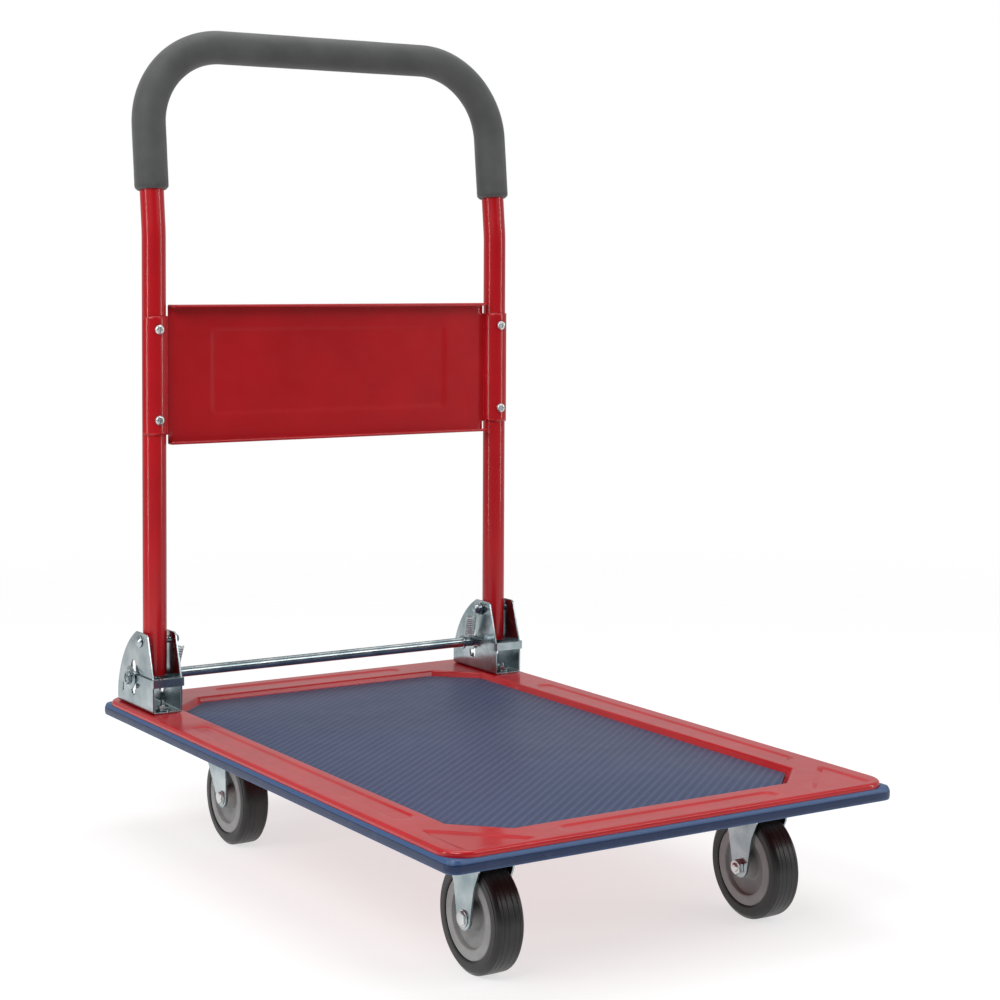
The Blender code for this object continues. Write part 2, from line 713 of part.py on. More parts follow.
def build_fixed_fork(name, sign, material):
    """Front caster bracket: top plate and two fixed cheeks."""
    wheel_x = sign * WHEEL_X
    mesh = box(name, (wheel_x - PLATE_HALF_X, FRONT_AXLE_Y - 0.035, PLATE_TOP - PLATE_THICK),
               (wheel_x + PLATE_HALF_X, FRONT_AXLE_Y + 0.035, PLATE_TOP))
    mesh = add_cheeks(mesh, fixed_cheek_outline(FRONT_AXLE_Y), wheel_x)
    mesh = drilled(mesh, (wheel_x, FRONT_AXLE_Y, WHEEL_RADIUS), "X", AXLE_RADIUS + GAP, CHEEK_REACH)
    return add_object(name, mesh, material)


def build_swivel_plate(name, sign, material):
    """Top plate of a rear caster, drilled for its kingpin."""
    pivot_y = REAR_AXLE_Y + SWIVEL_OFFSET
    wheel_x = sign * WHEEL_X
    mesh = box(name, (wheel_x - PLATE_HALF_X, pivot_y - 0.0475, PLATE_TOP - PLATE_THICK),
               (wheel_x + PLATE_HALF_X, pivot_y + 0.0475, PLATE_TOP))
    mesh = drilled(mesh, (wheel_x, pivot_y, PLATE_TOP), "Z", KINGPIN_RADIUS + GAP, HOLE_REACH)
    return add_object(name, mesh, material)


def build_swivel_race(name, sign, material):
    """Ball race ring between the top plate and the swivel fork."""
    base = PLATE_TOP - PLATE_THICK - GAP - RACE_HEIGHT
    profile = [(0.0, 0.0095), (0.0, 0.0200), (0.0030, 0.0240), (RACE_HEIGHT, 0.0240), (RACE_HEIGHT, 0.0095)]
    centre = (sign * WHEEL_X, REAR_AXLE_Y + SWIVEL_OFFSET, base)
    return add_object(name, turned(name, profile, centre, "Z", 20), material)


def build_swivel_fork(name, sign, material):
    """Rear fork: round crown and two raked cheeks that turn about the kingpin."""
    wheel_x = sign * WHEEL_X
    pivot_y = REAR_AXLE_Y + SWIVEL_OFFSET
    base = crown_top() - CROWN_THICK
    profile = [(0.0, 0.0), (0.0, CROWN_RADIUS), (CROWN_THICK, CROWN_RADIUS), (CROWN_THICK, 0.0)]
    mesh = turned(name, profile, (wheel_x, pivot_y, base), "Z", 24)
    mesh = add_cheeks(mesh, swivel_cheek_outline(REAR_AXLE_Y), wheel_x)
    mesh = drilled(mesh, (wheel_x, REAR_AXLE_Y, WHEEL_RADIUS), "X", AXLE_RADIUS + GAP, CHEEK_REACH)
    mesh = drilled(mesh, (wheel_x, pivot_y, base), "Z", KINGPIN_RADIUS + GAP, HOLE_REACH)
    return add_object(name, mesh, material)


def build_kingpin(name, sign, material):
    """Pin that holds a swivel fork to its top plate."""
    base = crown_top() - CROWN_THICK - GAP
    top = PLATE_TOP - base
    profile = [(-0.0045, 0.0), (-0.0040, 0.0050), (-0.0015, 0.0080), (0.0, 0.0085), (0.0, KINGPIN_RADIUS),
               (top, KINGPIN_RADIUS), (top, 0.0)]
    centre = (sign * WHEEL_X, REAR_AXLE_Y + SWIVEL_OFFSET, base)
    return add_object(name, turned(name, profile, centre, "Z", 16), material)


def build_tyre(name, centre, material):
    """Rubber tyre with rounded shoulders."""
    half = WHEEL_HALF_WIDTH
    profile = [
        (-half, CORE_RADIUS),
        (-half, 0.0450),
        (-half + 0.0030, 0.0490),
        (-half + 0.0080, WHEEL_RADIUS),
        (half - 0.0080, WHEEL_RADIUS),
        (half - 0.0030, 0.0490),
        (half, 0.0450),
        (half, CORE_RADIUS),
    ]
    return add_object(name, turned(name, profile, centre, "X", WHEEL_SIDES), material)


def build_wheel_core(name, centre, material):
    """Moulded wheel centre: hub, dished web and rim."""
    bore = AXLE_RADIUS + GAP
    half = [(0.0155, bore), (0.0155, 0.0105), (0.0040, 0.0125), (0.0040, 0.0250), (0.0135, 0.0275),
            (0.0135, CORE_RADIUS - GAP)]
    profile = half + [(-distance, radius) for distance, radius in reversed(half)]
    return add_object(name, turned(name, profile, centre, "X", WHEEL_SIDES), material)


def build_axle_bolt(name, sign, centre, material):
    """Axle bolt: domed head outside, thread through both cheeks."""
    seat = CHEEK_INNER + CHEEK_SHEET + GAP
    profile = [
        (seat + 0.0036, 0.0),
        (seat + 0.0030, 0.0040),
        (seat, 0.0065),
        (seat, AXLE_RADIUS),
        (-seat - 0.0075, AXLE_RADIUS),
        (-seat - 0.0075, 0.0),
    ]
    profile = [(sign * distance, radius) for distance, radius in profile]
    return add_object(name, turned(name, profile, centre, "X", 12), material)


# ---------------------------------------------------------------- assembly
def build_platform(paint, vinyl, bumper, underside):
    """Deck, mat, bumper and the channels under them."""
    build_deck_pan(paint)
    build_deck_mat(vinyl)
    build_bumper(bumper)
    build_channel("front_crossmember", FRONT_AXLE_Y, MEMBER_HALF_WIDTH, underside)
    build_channel("rear_crossmember", REAR_AXLE_Y + SWIVEL_OFFSET, MEMBER_HALF_WIDTH, underside)
    build_channel("centre_stiffener", 0.0, MEMBER_HALF_WIDTH * 0.5, underside)


def build_handle(paint, foam, zinc):
    """Tube, grip, panel and panel screws, all turning about the pivot bolts."""
    pieces = [build_handle_tube(paint), build_handle_grip(foam), build_handle_panel(paint)]
    for side, sign in SIDES.items():
        for level, height in SCREW_HEIGHTS.items():
            pieces.append(build_panel_screw(f"panel_screw_{side}_{level}", sign, height, zinc))
    for piece in pieces:
        rest_origin(piece, (0.0, LEG_Y, PIVOT_Z))


def build_hinges(zinc):
    """Brackets, pivot bolts and the bolts that hold the brackets to the deck."""
    for side, sign in SIDES.items():
        build_hinge_bracket(f"hinge_bracket_{side}", sign, zinc)
        build_pivot_bolt(f"pivot_bolt_{side}", sign, zinc)
        nut_x = sign * (BRACKET_INNER - GAP)
        nut_x -= PIVOT_NUT_THICK if sign > 0 else 0.0
        build_hex_nut(f"pivot_nut_{side}", (nut_x, LEG_Y, PIVOT_Z), "X", PIVOT_NUT_THICK, 0.0125,
                      PIVOT_RADIUS + GAP, zinc)
        for place, y in DECK_BOLT_Y.items():
            build_deck_bolt(f"bracket_bolt_{side}_{place}", sign, y, zinc)
            seat = BRACKET_BASE + BRACKET_SHEET + GAP
            build_hex_nut(f"bracket_nut_{side}_{place}", (sign * LEG_X, y, seat), "Z", 0.0050, 0.0100,
                          0.0033, zinc)


def build_release(zinc):
    """Rod, yokes, end nuts and springs of the foot release."""
    pieces = [build_release_rod(zinc)]
    for side, sign in SIDES.items():
        pieces.append(build_lock_yoke(f"lock_yoke_{side}", sign, zinc))
        pieces.append(build_rod_end_nut(f"rod_end_nut_{side}", sign, zinc))
        build_latch_spring(f"latch_spring_{side}", sign, zinc)
    for piece in pieces:
        rest_origin(piece, (0.0, ROD_Y, ROD_Z))


def build_wheel(place, sign, axle_y, rubber, core, zinc):
    """Tyre, centre, axle bolt and nut of one wheel."""
    centre = (sign * WHEEL_X, axle_y, WHEEL_RADIUS)
    rest_origin(build_tyre(f"tyre_{place}", centre, rubber), centre)
    rest_origin(build_wheel_core(f"wheel_core_{place}", centre, core), centre)
    build_axle_bolt(f"axle_bolt_{place}", sign, centre, zinc)
    seat = CHEEK_INNER + CHEEK_SHEET + GAP
    start = centre[0] - sign * seat
    start -= 0.0050 if sign > 0 else 0.0
    build_hex_nut(f"axle_nut_{place}", (start, axle_y, WHEEL_RADIUS), "X", 0.0050, 0.0125,
                  AXLE_RADIUS + GAP, zinc)


def build_casters(rubber, core, zinc):
    """Two fixed casters at the free end and two swivel casters at the handle end."""
    for side, sign in SIDES.items():
        build_fixed_fork(f"fixed_fork_{side}", sign, zinc)
        build_swivel_plate(f"swivel_plate_{side}", sign, zinc)
        build_swivel_race(f"swivel_race_{side}", sign, zinc)
        fork = build_swivel_fork(f"swivel_fork_{side}", sign, zinc)
        rest_origin(fork, (sign * WHEEL_X, REAR_AXLE_Y + SWIVEL_OFFSET, WHEEL_RADIUS))
        build_kingpin(f"kingpin_{side}", sign, zinc)
        build_wheel(f"front_{side}", sign, FRONT_AXLE_Y, rubber, core, zinc)
        build_wheel(f"rear_{side}", sign, REAR_AXLE_Y, rubber, core, zinc)


def main():
    """Clear the scene and build every piece of the cart."""
    for thing in list(bpy.data.objects):
        bpy.data.objects.remove(thing)
    paint = finish("red paint", (0.45, 0.012, 0.018), 0.3, 0.0)
    vinyl = finish("mat vinyl", (0.085, 0.11, 0.17), 0.6, 0.0)
    bumper = finish("bumper vinyl", (0.03, 0.08, 0.2), 0.45, 0.0)
    foam = finish("grip foam", (0.05, 0.053, 0.053), 0.8, 0.0)
    zinc = finish("zinc plate", (0.6, 0.66, 0.68), 0.3, 1.0)
    rubber = finish("tyre rubber", (0.02, 0.02, 0.02), 0.6, 0.0)
    core = finish("wheel plastic", (0.16, 0.16, 0.16), 0.5, 0.0)
    build_platform(paint, vinyl, bumper, paint)
    build_handle(paint, foam, zinc)
    build_hinges(zinc)
    build_release(zinc)
    build_casters(rubber, core, zinc)


main()
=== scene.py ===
"""Folding platform cart: the finished surfaces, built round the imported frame.

Metres, +Z up, origin on the floor under the middle of the platform, +Y towards
the handle. Each sub-assembly is a class that makes its pieces and dresses them.
"""
import logging
import math
from dataclasses import dataclass, field
from enum import Enum
from typing import Sequence

import bmesh
import bpy
import numpy as np
from mathutils import Matrix, Vector


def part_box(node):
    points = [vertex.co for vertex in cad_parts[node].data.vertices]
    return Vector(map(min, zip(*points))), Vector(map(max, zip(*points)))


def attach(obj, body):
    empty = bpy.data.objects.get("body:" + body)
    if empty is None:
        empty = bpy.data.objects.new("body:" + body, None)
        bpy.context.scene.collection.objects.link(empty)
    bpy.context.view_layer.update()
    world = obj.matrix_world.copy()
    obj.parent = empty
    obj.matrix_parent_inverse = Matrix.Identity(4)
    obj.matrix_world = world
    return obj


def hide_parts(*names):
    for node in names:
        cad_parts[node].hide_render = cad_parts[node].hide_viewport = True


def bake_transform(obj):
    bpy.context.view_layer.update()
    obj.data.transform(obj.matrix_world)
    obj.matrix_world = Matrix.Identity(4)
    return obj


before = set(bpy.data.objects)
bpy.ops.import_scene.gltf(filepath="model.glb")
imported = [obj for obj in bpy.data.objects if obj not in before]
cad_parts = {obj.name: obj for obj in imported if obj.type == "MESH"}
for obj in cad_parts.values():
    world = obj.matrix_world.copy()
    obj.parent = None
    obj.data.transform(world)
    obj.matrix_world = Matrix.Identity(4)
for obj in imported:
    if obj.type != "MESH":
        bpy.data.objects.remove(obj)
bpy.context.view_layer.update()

Array = np.ndarray
Pair = tuple[float, float]
Triple = tuple[float, float, float]
log = logging.getLogger("cart")

HAIR = 2e-6                       # points nearer than this are one point
GAP = 0.0003                      # clearance kept between touching pieces
SIDES = {"left": -1.0, "right": 1.0}


class Axis(Enum):
    """The frame's three directions, as indices."""

    X = 0
    Y = 1
    Z = 2


class Slot(Enum):
    """Finish slots of the record."""

    RED = "red_paint"
    UNDERSIDE = "underside_paint"
    MAT = "mat_vinyl"
    BUMPER = "bumper_vinyl"
    FOAM = "grip_foam"
    ZINC = "bright_zinc"
    SPRING = "spring_steel"
    RUBBER = "tyre_rubber"
    CORE = "wheel_plastic"


# ---------------------------------------------------------------- small sums
def box_of(node: str) -> tuple[Array, Array]:
    """Lowest and highest corner of a CAD node's box."""
    low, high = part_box(node)
    return np.array(low), np.array(high)


def centre_of(node: str) -> Array:
    """Middle of a CAD node's box."""
    low, high = box_of(node)
    return (low + high) / 2.0


def smooth(share: Array) -> Array:
    """Smoothstep: 0 below 0, 1 above 1, and 3s^2 - 2s^3 between."""
    share = np.clip(share, 0.0, 1.0)
    return share * share * (3.0 - 2.0 * share)


def linear(code: str) -> tuple[float, float, float, float]:
    """Linear colour of a six-digit sRGB code, by the sRGB curve."""
    value = np.array([int(code[i:i + 2], 16) for i in (0, 2, 4)]) / 255.0
    value = np.where(value <= 0.04045, value / 12.92, ((value + 0.055) / 1.055) ** 2.4)
    return (float(value[0]), float(value[1]), float(value[2]), 1.0)


def rounded(corners: Sequence[Pair], radius: float | Sequence[float], closed: bool = True,
            steps: int = 4) -> Array:
    """Polyline whose corners become arcs tangent to both of their sides.

    An arc's point at share s is c + (sin((1-s)w) a + sin(sw) b) / sin w, where c
    is its centre, a and b its end spokes and w the angle between them.

    Args:
        corners: the corner points.
        radius: one radius, or one for each corner; 0 keeps the corner.
        closed: whether the last corner joins the first.
        steps: spans in each arc.

    Returns:
        The points, one row each.
    """
    points = np.array(corners, float)
    radii = np.broadcast_to(np.array(radius, float), len(points))
    made = []
    for index, (corner, size) in enumerate(zip(points, radii)):
        if size <= 0.0 or (not closed and index in (0, len(points) - 1)):
            made.append(corner[None])
            continue
        before = points[index - 1] - corner
        after = points[(index + 1) % len(points)] - corner
        reach = 0.49 * min(np.linalg.norm(before), np.linalg.norm(after))
        before, after = before / np.linalg.norm(before), after / np.linalg.norm(after)
        half = math.acos(float(np.clip(before @ after, -1.0, 1.0))) / 2.0
        if half > math.pi / 2.0 - 1e-4:
            made.append(corner[None])
            continue
        leg = min(size / math.tan(half), reach)
        middle = corner + (before + after) / np.linalg.norm(before + after) * leg / math.cos(half)
        first, last = corner + before * leg - middle, corner + after * leg - middle
        sweep_angle = math.pi - 2.0 * half
        share = np.linspace(0.0, 1.0, steps + 1)[:, None]
        arc = np.sin((1.0 - share) * sweep_angle) * first + np.sin(share * sweep_angle) * last
        made.append(middle + arc / math.sin(sweep_angle))
    return np.concatenate(made)


def folded(path: Sequence[Pair], thickness: float, bend: float) -> Array:
    """Outline of a bent sheet: the path shifted half a thickness to each side.

    A corner's shifted point is p + h (m + n) / (1 + m.n), where m and n are the
    normals of its two sides. The inside of a bend has the bend radius and the
    outside that radius plus the thickness.

    Args:
        path: middle line of the sheet.
        thickness: of the sheet.
        bend: inside radius of the bends.

    Returns:
        Closed outline.
    """
    line = np.array(path, float)
    run = np.diff(line, axis=0)
    run /= np.linalg.norm(run, axis=1)[:, None]
    normal = np.stack([-run[:, 1], run[:, 0]], 1)
    before = np.vstack([normal[:1], normal])
    after = np.vstack([normal, normal[-1:]])
    shift = (before + after) / (1.0 + (before * after).sum(1))[:, None] * thickness / 2.0
    turn = np.zeros(len(line))
    turn[1:-1] = run[:-1, 0] * run[1:, 1] - run[:-1, 1] * run[1:, 0]
    on_left = np.where(turn > 0.0, bend, bend + thickness)
    on_right = np.where(turn > 0.0, bend + thickness, bend)
    left = rounded(line + shift, on_left, closed=False, steps=5)
    right = rounded(line - shift, on_right, closed=False, steps=5)
    return np.concatenate([left, right[::-1]])


def circle(centre: Pair, radius: float, count: int = 40) -> Array:
    """Points round a circle."""
    angle = np.linspace(0.0, 2.0 * math.pi, count, endpoint=False)
    return np.stack([centre[0] + radius * np.cos(angle), centre[1] + radius * np.sin(angle)], 1)


def capsule(centre: Pair, half_width: float, half_length: float, count: int = 12) -> Array:
    """Upright slot with round ends: half circles set half_length above and below."""
    angle = np.linspace(0.0, math.pi, count)
    top = np.stack([centre[0] + half_width * np.cos(angle),
                    centre[1] + half_length + half_width * np.sin(angle)], 1)
    return np.concatenate([top, 2.0 * np.array(centre) - top])


def box_distance(x: Array, y: Array, centre: Pair, half: Pair, corner: float) -> Array:
    """Signed distance to a rounded rectangle: |max(q, 0)| + min(max q, 0) - r,
    with q the distance past each half side less the corner radius."""
    qx = np.abs(x - centre[0]) - half[0] + corner
    qy = np.abs(y - centre[1]) - half[1] + corner
    outside = np.hypot(np.maximum(qx, 0.0), np.maximum(qy, 0.0))
    return outside + np.minimum(np.maximum(qx, qy), 0.0) - corner


def soft_max(values: Sequence[Array], blend: float) -> Array:
    """Largest of several distances with rounded meeting lines: b log sum exp(v / b)."""
    return blend * np.log(sum(np.exp(np.clip(value / blend, -50.0, 50.0)) for value in values))


# ---------------------------------------------------------------- surfaces
def spun(along: Array, radius: Array, centre: Sequence[float], axis: Axis, sides: int) -> Array:
    """Profile turned about an axis: centre + a * axis + r (cos t, sin t) across it.

    Args:
        along: distance along the axis, one per row or one per row and side.
        radius: distance from the axis, likewise.
        centre: point that distances are measured from.
        axis: direction of the axis.
        sides: points in each row.

    Returns:
        Grid of points, rows by sides by 3.
    """
    angle = np.linspace(0.0, 2.0 * math.pi, sides, endpoint=False)
    along, radius = np.asarray(along, float), np.asarray(radius, float)
    along = along[:, None] if along.ndim == 1 else along
    radius = radius[:, None] if radius.ndim == 1 else radius
    rows = max(len(along), len(radius))
    grid = np.zeros((rows, sides, 3))
    first, second = (axis.value + 1) % 3, (axis.value + 2) % 3
    grid[..., axis.value] = along
    grid[..., first] = radius * np.cos(angle)
    grid[..., second] = radius * np.sin(angle)
    return grid + np.array(centre, float)


def swept(path: Array, radius: Array, sides: int, back: Array) -> Array:
    """Round section carried along a path.

    Each ring is p + r (cos t * side + sin t * up), where up is the back
    direction less its part along the tangent, and side is tangent x up.
    """
    tangent = np.gradient(path, axis=0)
    tangent /= np.linalg.norm(tangent, axis=1)[:, None]
    up = back - tangent * (tangent @ back)[:, None]
    up /= np.linalg.norm(up, axis=1)[:, None]
    side = np.cross(tangent, up)
    angle = np.linspace(0.0, 2.0 * math.pi, sides, endpoint=False)[None, :, None]
    spoke = np.cos(angle) * side[:, None] + np.sin(angle) * up[:, None]
    return path[:, None] + spoke * np.broadcast_to(radius, len(path))[:, None, None]


def extruded(outline: Array, axis: Axis, low: float, high: float) -> Array:
    """Outline carried straight along an axis; its two columns are the next two axes."""
    grid = np.zeros((2, len(outline), 3))
    grid[0, :, axis.value], grid[1, :, axis.value] = low, high
    grid[..., (axis.value + 1) % 3] = outline[:, 0]
    grid[..., (axis.value + 2) % 3] = outline[:, 1]
    return grid


@dataclass
class Skin:
    """Grids gathered into one mesh."""

    points: list[Array] = field(default_factory=list)
    faces: list[list[int]] = field(default_factory=list)
    coats: list[int] = field(default_factory=list)
    count: int = 0

    def add(self, grid: Array, rows_closed: bool = False, columns_closed: bool = True,
            capped: bool = False, coat: int = 0) -> "Skin":
        """Join a grid's neighbours with quads.

        Args:
            grid: rows by columns by 3.
            rows_closed: whether the last row joins the first.
            columns_closed: whether the last column joins the first.
            capped: whether the first and last rows are filled.
            coat: index of the material on these faces.

        Returns:
            This skin.
        """
        rows, columns = grid.shape[:2]
        row = np.arange(rows if rows_closed else rows - 1)
        column = np.arange(columns if columns_closed else columns - 1)
        here, across = np.meshgrid(row, column, indexing="ij")
        below, beside = (here + 1) % rows, (across + 1) % columns
        quads = np.stack([here * columns + across, here * columns + beside,
                          below * columns + beside, below * columns + across], -1).reshape(-1, 4)
        made = (quads + self.count).tolist()
        if capped:
            made.append((np.arange(columns) + self.count)[::-1].tolist())
            made.append((np.arange(columns) + self.count + (rows - 1) * columns).tolist())
        self.points.append(grid.reshape(-1, 3))
        self.faces += made
        self.coats += [coat] * len(made)
        self.count += rows * columns
        return self

    def make(self, name: str, materials: Sequence[bpy.types.Material], sharp: float = 35.0,
             values: dict[str, Array] | None = None) -> bpy.types.Object:
        """Weld the grids, turn their faces outwards and link the object.

        Args:
            name: of the object.
            materials: in the order of the coats.
            sharp: edges that turn more than this many degrees stay sharp.
            values: per-point numbers for the materials to read.

        Returns:
            The object, at the origin.
        """
        mesh = bpy.data.meshes.new(name)
        mesh.from_pydata(np.concatenate(self.points).tolist(), [], self.faces)
        mesh.polygons.foreach_set("material_index", np.array(self.coats, np.int32))
        for title, numbers in (values or {}).items():
            layer = mesh.attributes.new(title, "FLOAT", "POINT")
            layer.data.foreach_set("value", numbers.astype(np.float32).ravel())
        weld(mesh)
        return link(name, mesh, materials, sharp)


def weld(mesh: bpy.types.Mesh) -> None:
    """Merge a mesh's coincident points and turn its faces outwards."""
    work = bmesh.new()
    work.from_mesh(mesh)
    bmesh.ops.remove_doubles(work, verts=work.verts, dist=HAIR)
    bmesh.ops.recalc_face_normals(work, faces=work.faces)
    work.to_mesh(mesh)
    work.free()


def link(name: str, mesh: bpy.types.Mesh, materials: Sequence[bpy.types.Material],
         sharp: float = 35.0) -> bpy.types.Object:
    """Show a mesh as an object, smooth but for its sharp edges."""
    mesh.materials.clear()
    for material in materials:
        mesh.materials.append(material)
    mesh.shade_smooth()
    mesh.set_sharp_from_angle(angle=math.radians(sharp))
    piece = bpy.data.objects.new(name, mesh)
    bpy.context.scene.collection.objects.link(piece)
    return piece


def carved(piece: bpy.types.Object, grid: Array, operation: str = "DIFFERENCE") -> bpy.types.Object:
    """Cut a piece by a capped prism, keep what they share, or join them."""
    tool = Skin().add(grid, capped=True).make("tool", [])
    cut = piece.modifiers.new("cut", "BOOLEAN")
    cut.operation, cut.solver, cut.object = operation, "EXACT", tool
    bpy.context.view_layer.update()
    shaped = bpy.data.meshes.new_from_object(
        piece.evaluated_get(bpy.context.evaluated_depsgraph_get()))
    piece.modifiers.clear()
    piece.data = shaped
    bpy.data.objects.remove(tool)
    return piece


def soften(piece: bpy.types.Object, width: float = 0.0003, segments: int = 2) -> bpy.types.Object:
    """Round a piece's sharp edges a little, as a press or a file leaves them."""
    mesh = piece.data
    weld(mesh)
    mesh.shade_smooth()
    edge = piece.modifiers.new("edge", "BEVEL")
    edge.width, edge.segments = width, segments
    edge.limit_method, edge.angle_limit = "ANGLE", math.radians(32.0)
    edge.harden_normals = True
    edge.use_clamp_overlap = True
    return piece


def settle(piece: bpy.types.Object, body: str, slot: Slot, *nodes: str) -> bpy.types.Object:
    """Let a piece ride on its body in place of its CAD nodes, and say so."""
    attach(piece, body)
    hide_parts(*nodes)
    log.info("%s on %s: %d points", piece.name, body, len(piece.data.vertices))
    return piece


# ---------------------------------------------------------------- finishes
class Recipe:
    """A node material under construction."""

    def __init__(self, name: str) -> None:
        """Start from one Principled shader on Object coordinates."""
        self.material = bpy.data.materials.new(name)
        self.material.use_nodes = True
        self.tree = self.material.node_tree
        self.shader = self.tree.nodes["Principled BSDF"]
        self.place = self.tree.nodes.new("ShaderNodeTexCoord").outputs["Object"]

    def set(self, **values: float | tuple) -> None:
        """Set plain numbers on the shader's own sockets; underscores stand for spaces."""
        for title, value in values.items():
            self.shader.inputs[title.replace("_", " ")].default_value = value

    def stretched(self, scale: Triple) -> bpy.types.NodeSocket:
        """Object coordinates multiplied along each axis."""
        mapping = self.tree.nodes.new("ShaderNodeMapping")
        mapping.inputs["Scale"].default_value = scale
        self.tree.links.new(self.place, mapping.inputs["Vector"])
        return mapping.outputs["Vector"]

    def noise(self, scale: float, detail: float = 3.0,
              place: bpy.types.NodeSocket | None = None) -> bpy.types.NodeSocket:
        """Cloudy noise, scale in waves per metre."""
        node = self.tree.nodes.new("ShaderNodeTexNoise")
        node.inputs["Scale"].default_value = scale
        node.inputs["Detail"].default_value = detail
        self.tree.links.new(place or self.place, node.inputs["Vector"])
        return node.outputs["Fac"]

    def cells(self, scale: float) -> bpy.types.NodeSocket:
        """Distance to the nearest of scattered points, as in foam or grain."""
        node = self.tree.nodes.new("ShaderNodeTexVoronoi")
        node.inputs["Scale"].default_value = scale
        self.tree.links.new(self.place, node.inputs["Vector"])
        return node.outputs["Distance"]

    def value(self, title: str) -> bpy.types.NodeSocket:
        """A piece's own number, painted on its points."""
        node = self.tree.nodes.new("ShaderNodeAttribute")
        node.attribute_name = title
        return node.outputs["Fac"]

    def between(self, factor: bpy.types.NodeSocket, low: float, high: float,
                start: float = 0.0, end: float = 1.0) -> bpy.types.NodeSocket:
        """Map a factor from start..end onto low..high."""
        node = self.tree.nodes.new("ShaderNodeMapRange")
        for title, number in (("From Min", start), ("From Max", end), ("To Min", low), ("To Max", high)):
            node.inputs[title].default_value = number
        self.tree.links.new(factor, node.inputs["Value"])
        return node.outputs["Result"]

    def mix(self, factor: bpy.types.NodeSocket, low: bpy.types.NodeSocket | tuple,
            high: bpy.types.NodeSocket | tuple) -> bpy.types.NodeSocket:
        """Blend two colours by a factor."""
        node = self.tree.nodes.new("ShaderNodeMix")
        node.data_type = "RGBA"
        self.tree.links.new(factor, node.inputs["Factor"])
        colour_sockets = [s for s in node.inputs if s.type == "RGBA"]
        for socket, colour in zip(colour_sockets, (low, high)):
            if isinstance(colour, tuple):
                socket.default_value = colour
            else:
                self.tree.links.new(colour, socket)
        return next(s for s in node.outputs if s.type == "RGBA")

    def feed(self, title: str, socket: bpy.types.NodeSocket) -> None:
        """Wire a varying value into the shader."""
        self.tree.links.new(socket, self.shader.inputs[title])

    def relief(self, height: bpy.types.NodeSocket, distance: float, strength: float = 1.0,
               under: bpy.types.NodeSocket | None = None) -> bpy.types.NodeSocket:
        """Bump of a given depth, on top of another where there is one."""
        node = self.tree.nodes.new("ShaderNodeBump")
        node.inputs["Distance"].default_value = distance
        node.inputs["Strength"].default_value = strength
        self.tree.links.new(height, node.inputs["Height"])
        if under is not None:
            self.tree.links.new(under, node.inputs["Normal"])
        return node.outputs["Normal"]


@dataclass(frozen=True)
class Enamel:
    """Sprayed gloss enamel: a clear flow coat over slightly uneven colour."""

    title: str = "red enamel"
    deep: str = "A80B15"
    bright: str = "B80F1A"
    gloss: float = 0.09
    matt: float = 0.30

    def build(self) -> bpy.types.Material:
        """Colour clouds, faint orange peel and a clear coat."""
        recipe = Recipe(self.title)
        cloud = recipe.between(recipe.noise(14.0, 5.0), 0.0, 1.0, 0.3, 0.7)
        recipe.feed("Base Color", recipe.mix(cloud, linear(self.deep), linear(self.bright)))
        recipe.feed("Roughness", recipe.between(recipe.noise(60.0, 4.0), self.matt - 0.05, self.matt + 0.08))
        peel = recipe.relief(recipe.noise(420.0, 2.0), 0.00006, 0.5)
        recipe.feed("Normal", peel)
        recipe.tree.links.new(peel, recipe.shader.inputs["Coat Normal"])
        recipe.set(Coat_Weight=0.5, Coat_Roughness=self.gloss, Coat_IOR=1.45, Specular_IOR_Level=0.3)
        return recipe.material


@dataclass(frozen=True)
class RibbedVinyl:
    """Blue-grey ribbed matting, with painted shade darkening it between its ribs."""

    groove_painted_shade: str = "303A56"
    crest: str = "475270"
    worn: str = "475270"

    def build(self) -> bpy.types.Material:
        """Colour by rib height, darker in the grooves as painted shade, with fine leather grain and handling
        marks.
        """
        recipe = Recipe("mat vinyl")
        # the groove colour is painted shade: the low parts of the ribs are painted darker
        ribs = recipe.mix(recipe.value("rib"), linear(self.groove_painted_shade), linear(self.crest))
        cloud = recipe.between(recipe.noise(7.0, 6.0), 0.0, 0.28, 0.35, 0.75)
        recipe.feed("Base Color", recipe.mix(cloud, ribs, linear(self.worn)))
        recipe.feed("Roughness", recipe.between(recipe.noise(30.0, 5.0), 0.38, 0.56))
        grain = recipe.relief(recipe.cells(900.0), 0.00008, 0.5)
        recipe.feed("Normal", recipe.relief(recipe.noise(2600.0, 2.0), 0.00004, 0.5, grain))
        recipe.set(Specular_IOR_Level=0.3)
        return recipe.material


@dataclass(frozen=True)
class BumperVinyl:
    """Navy extrusion, with a painted highlight making its lips paler."""

    band: str = "0F264B"
    # paler lip colour: a painted highlight
    lip: str = "34517B"
    scuffed: str = "3B5579"

    def build(self) -> bpy.types.Material:
        """Colour by the lip value, a painted highlight on the lips, with drawn-out extrusion lines."""
        recipe = Recipe("bumper vinyl")
        # the lips are painted paler as highlight: full on the top lip, weaker on the foot
        colour = recipe.mix(recipe.value("lip"), linear(self.band), linear(self.lip))
        scuff = recipe.between(recipe.noise(38.0, 8.0), 0.0, 0.35, 0.58, 0.8)
        recipe.feed("Base Color", recipe.mix(scuff, colour, linear(self.scuffed)))
        recipe.feed("Roughness", recipe.between(recipe.noise(90.0, 3.0), 0.30, 0.46))
        lines = recipe.noise(60.0, 3.0, recipe.stretched((1.0, 1.0, 60.0)))
        recipe.feed("Normal", recipe.relief(lines, 0.00008, 0.4))
        recipe.set(Coat_Weight=0.1, Coat_Roughness=0.25, Specular_IOR_Level=0.35)
        return recipe.material


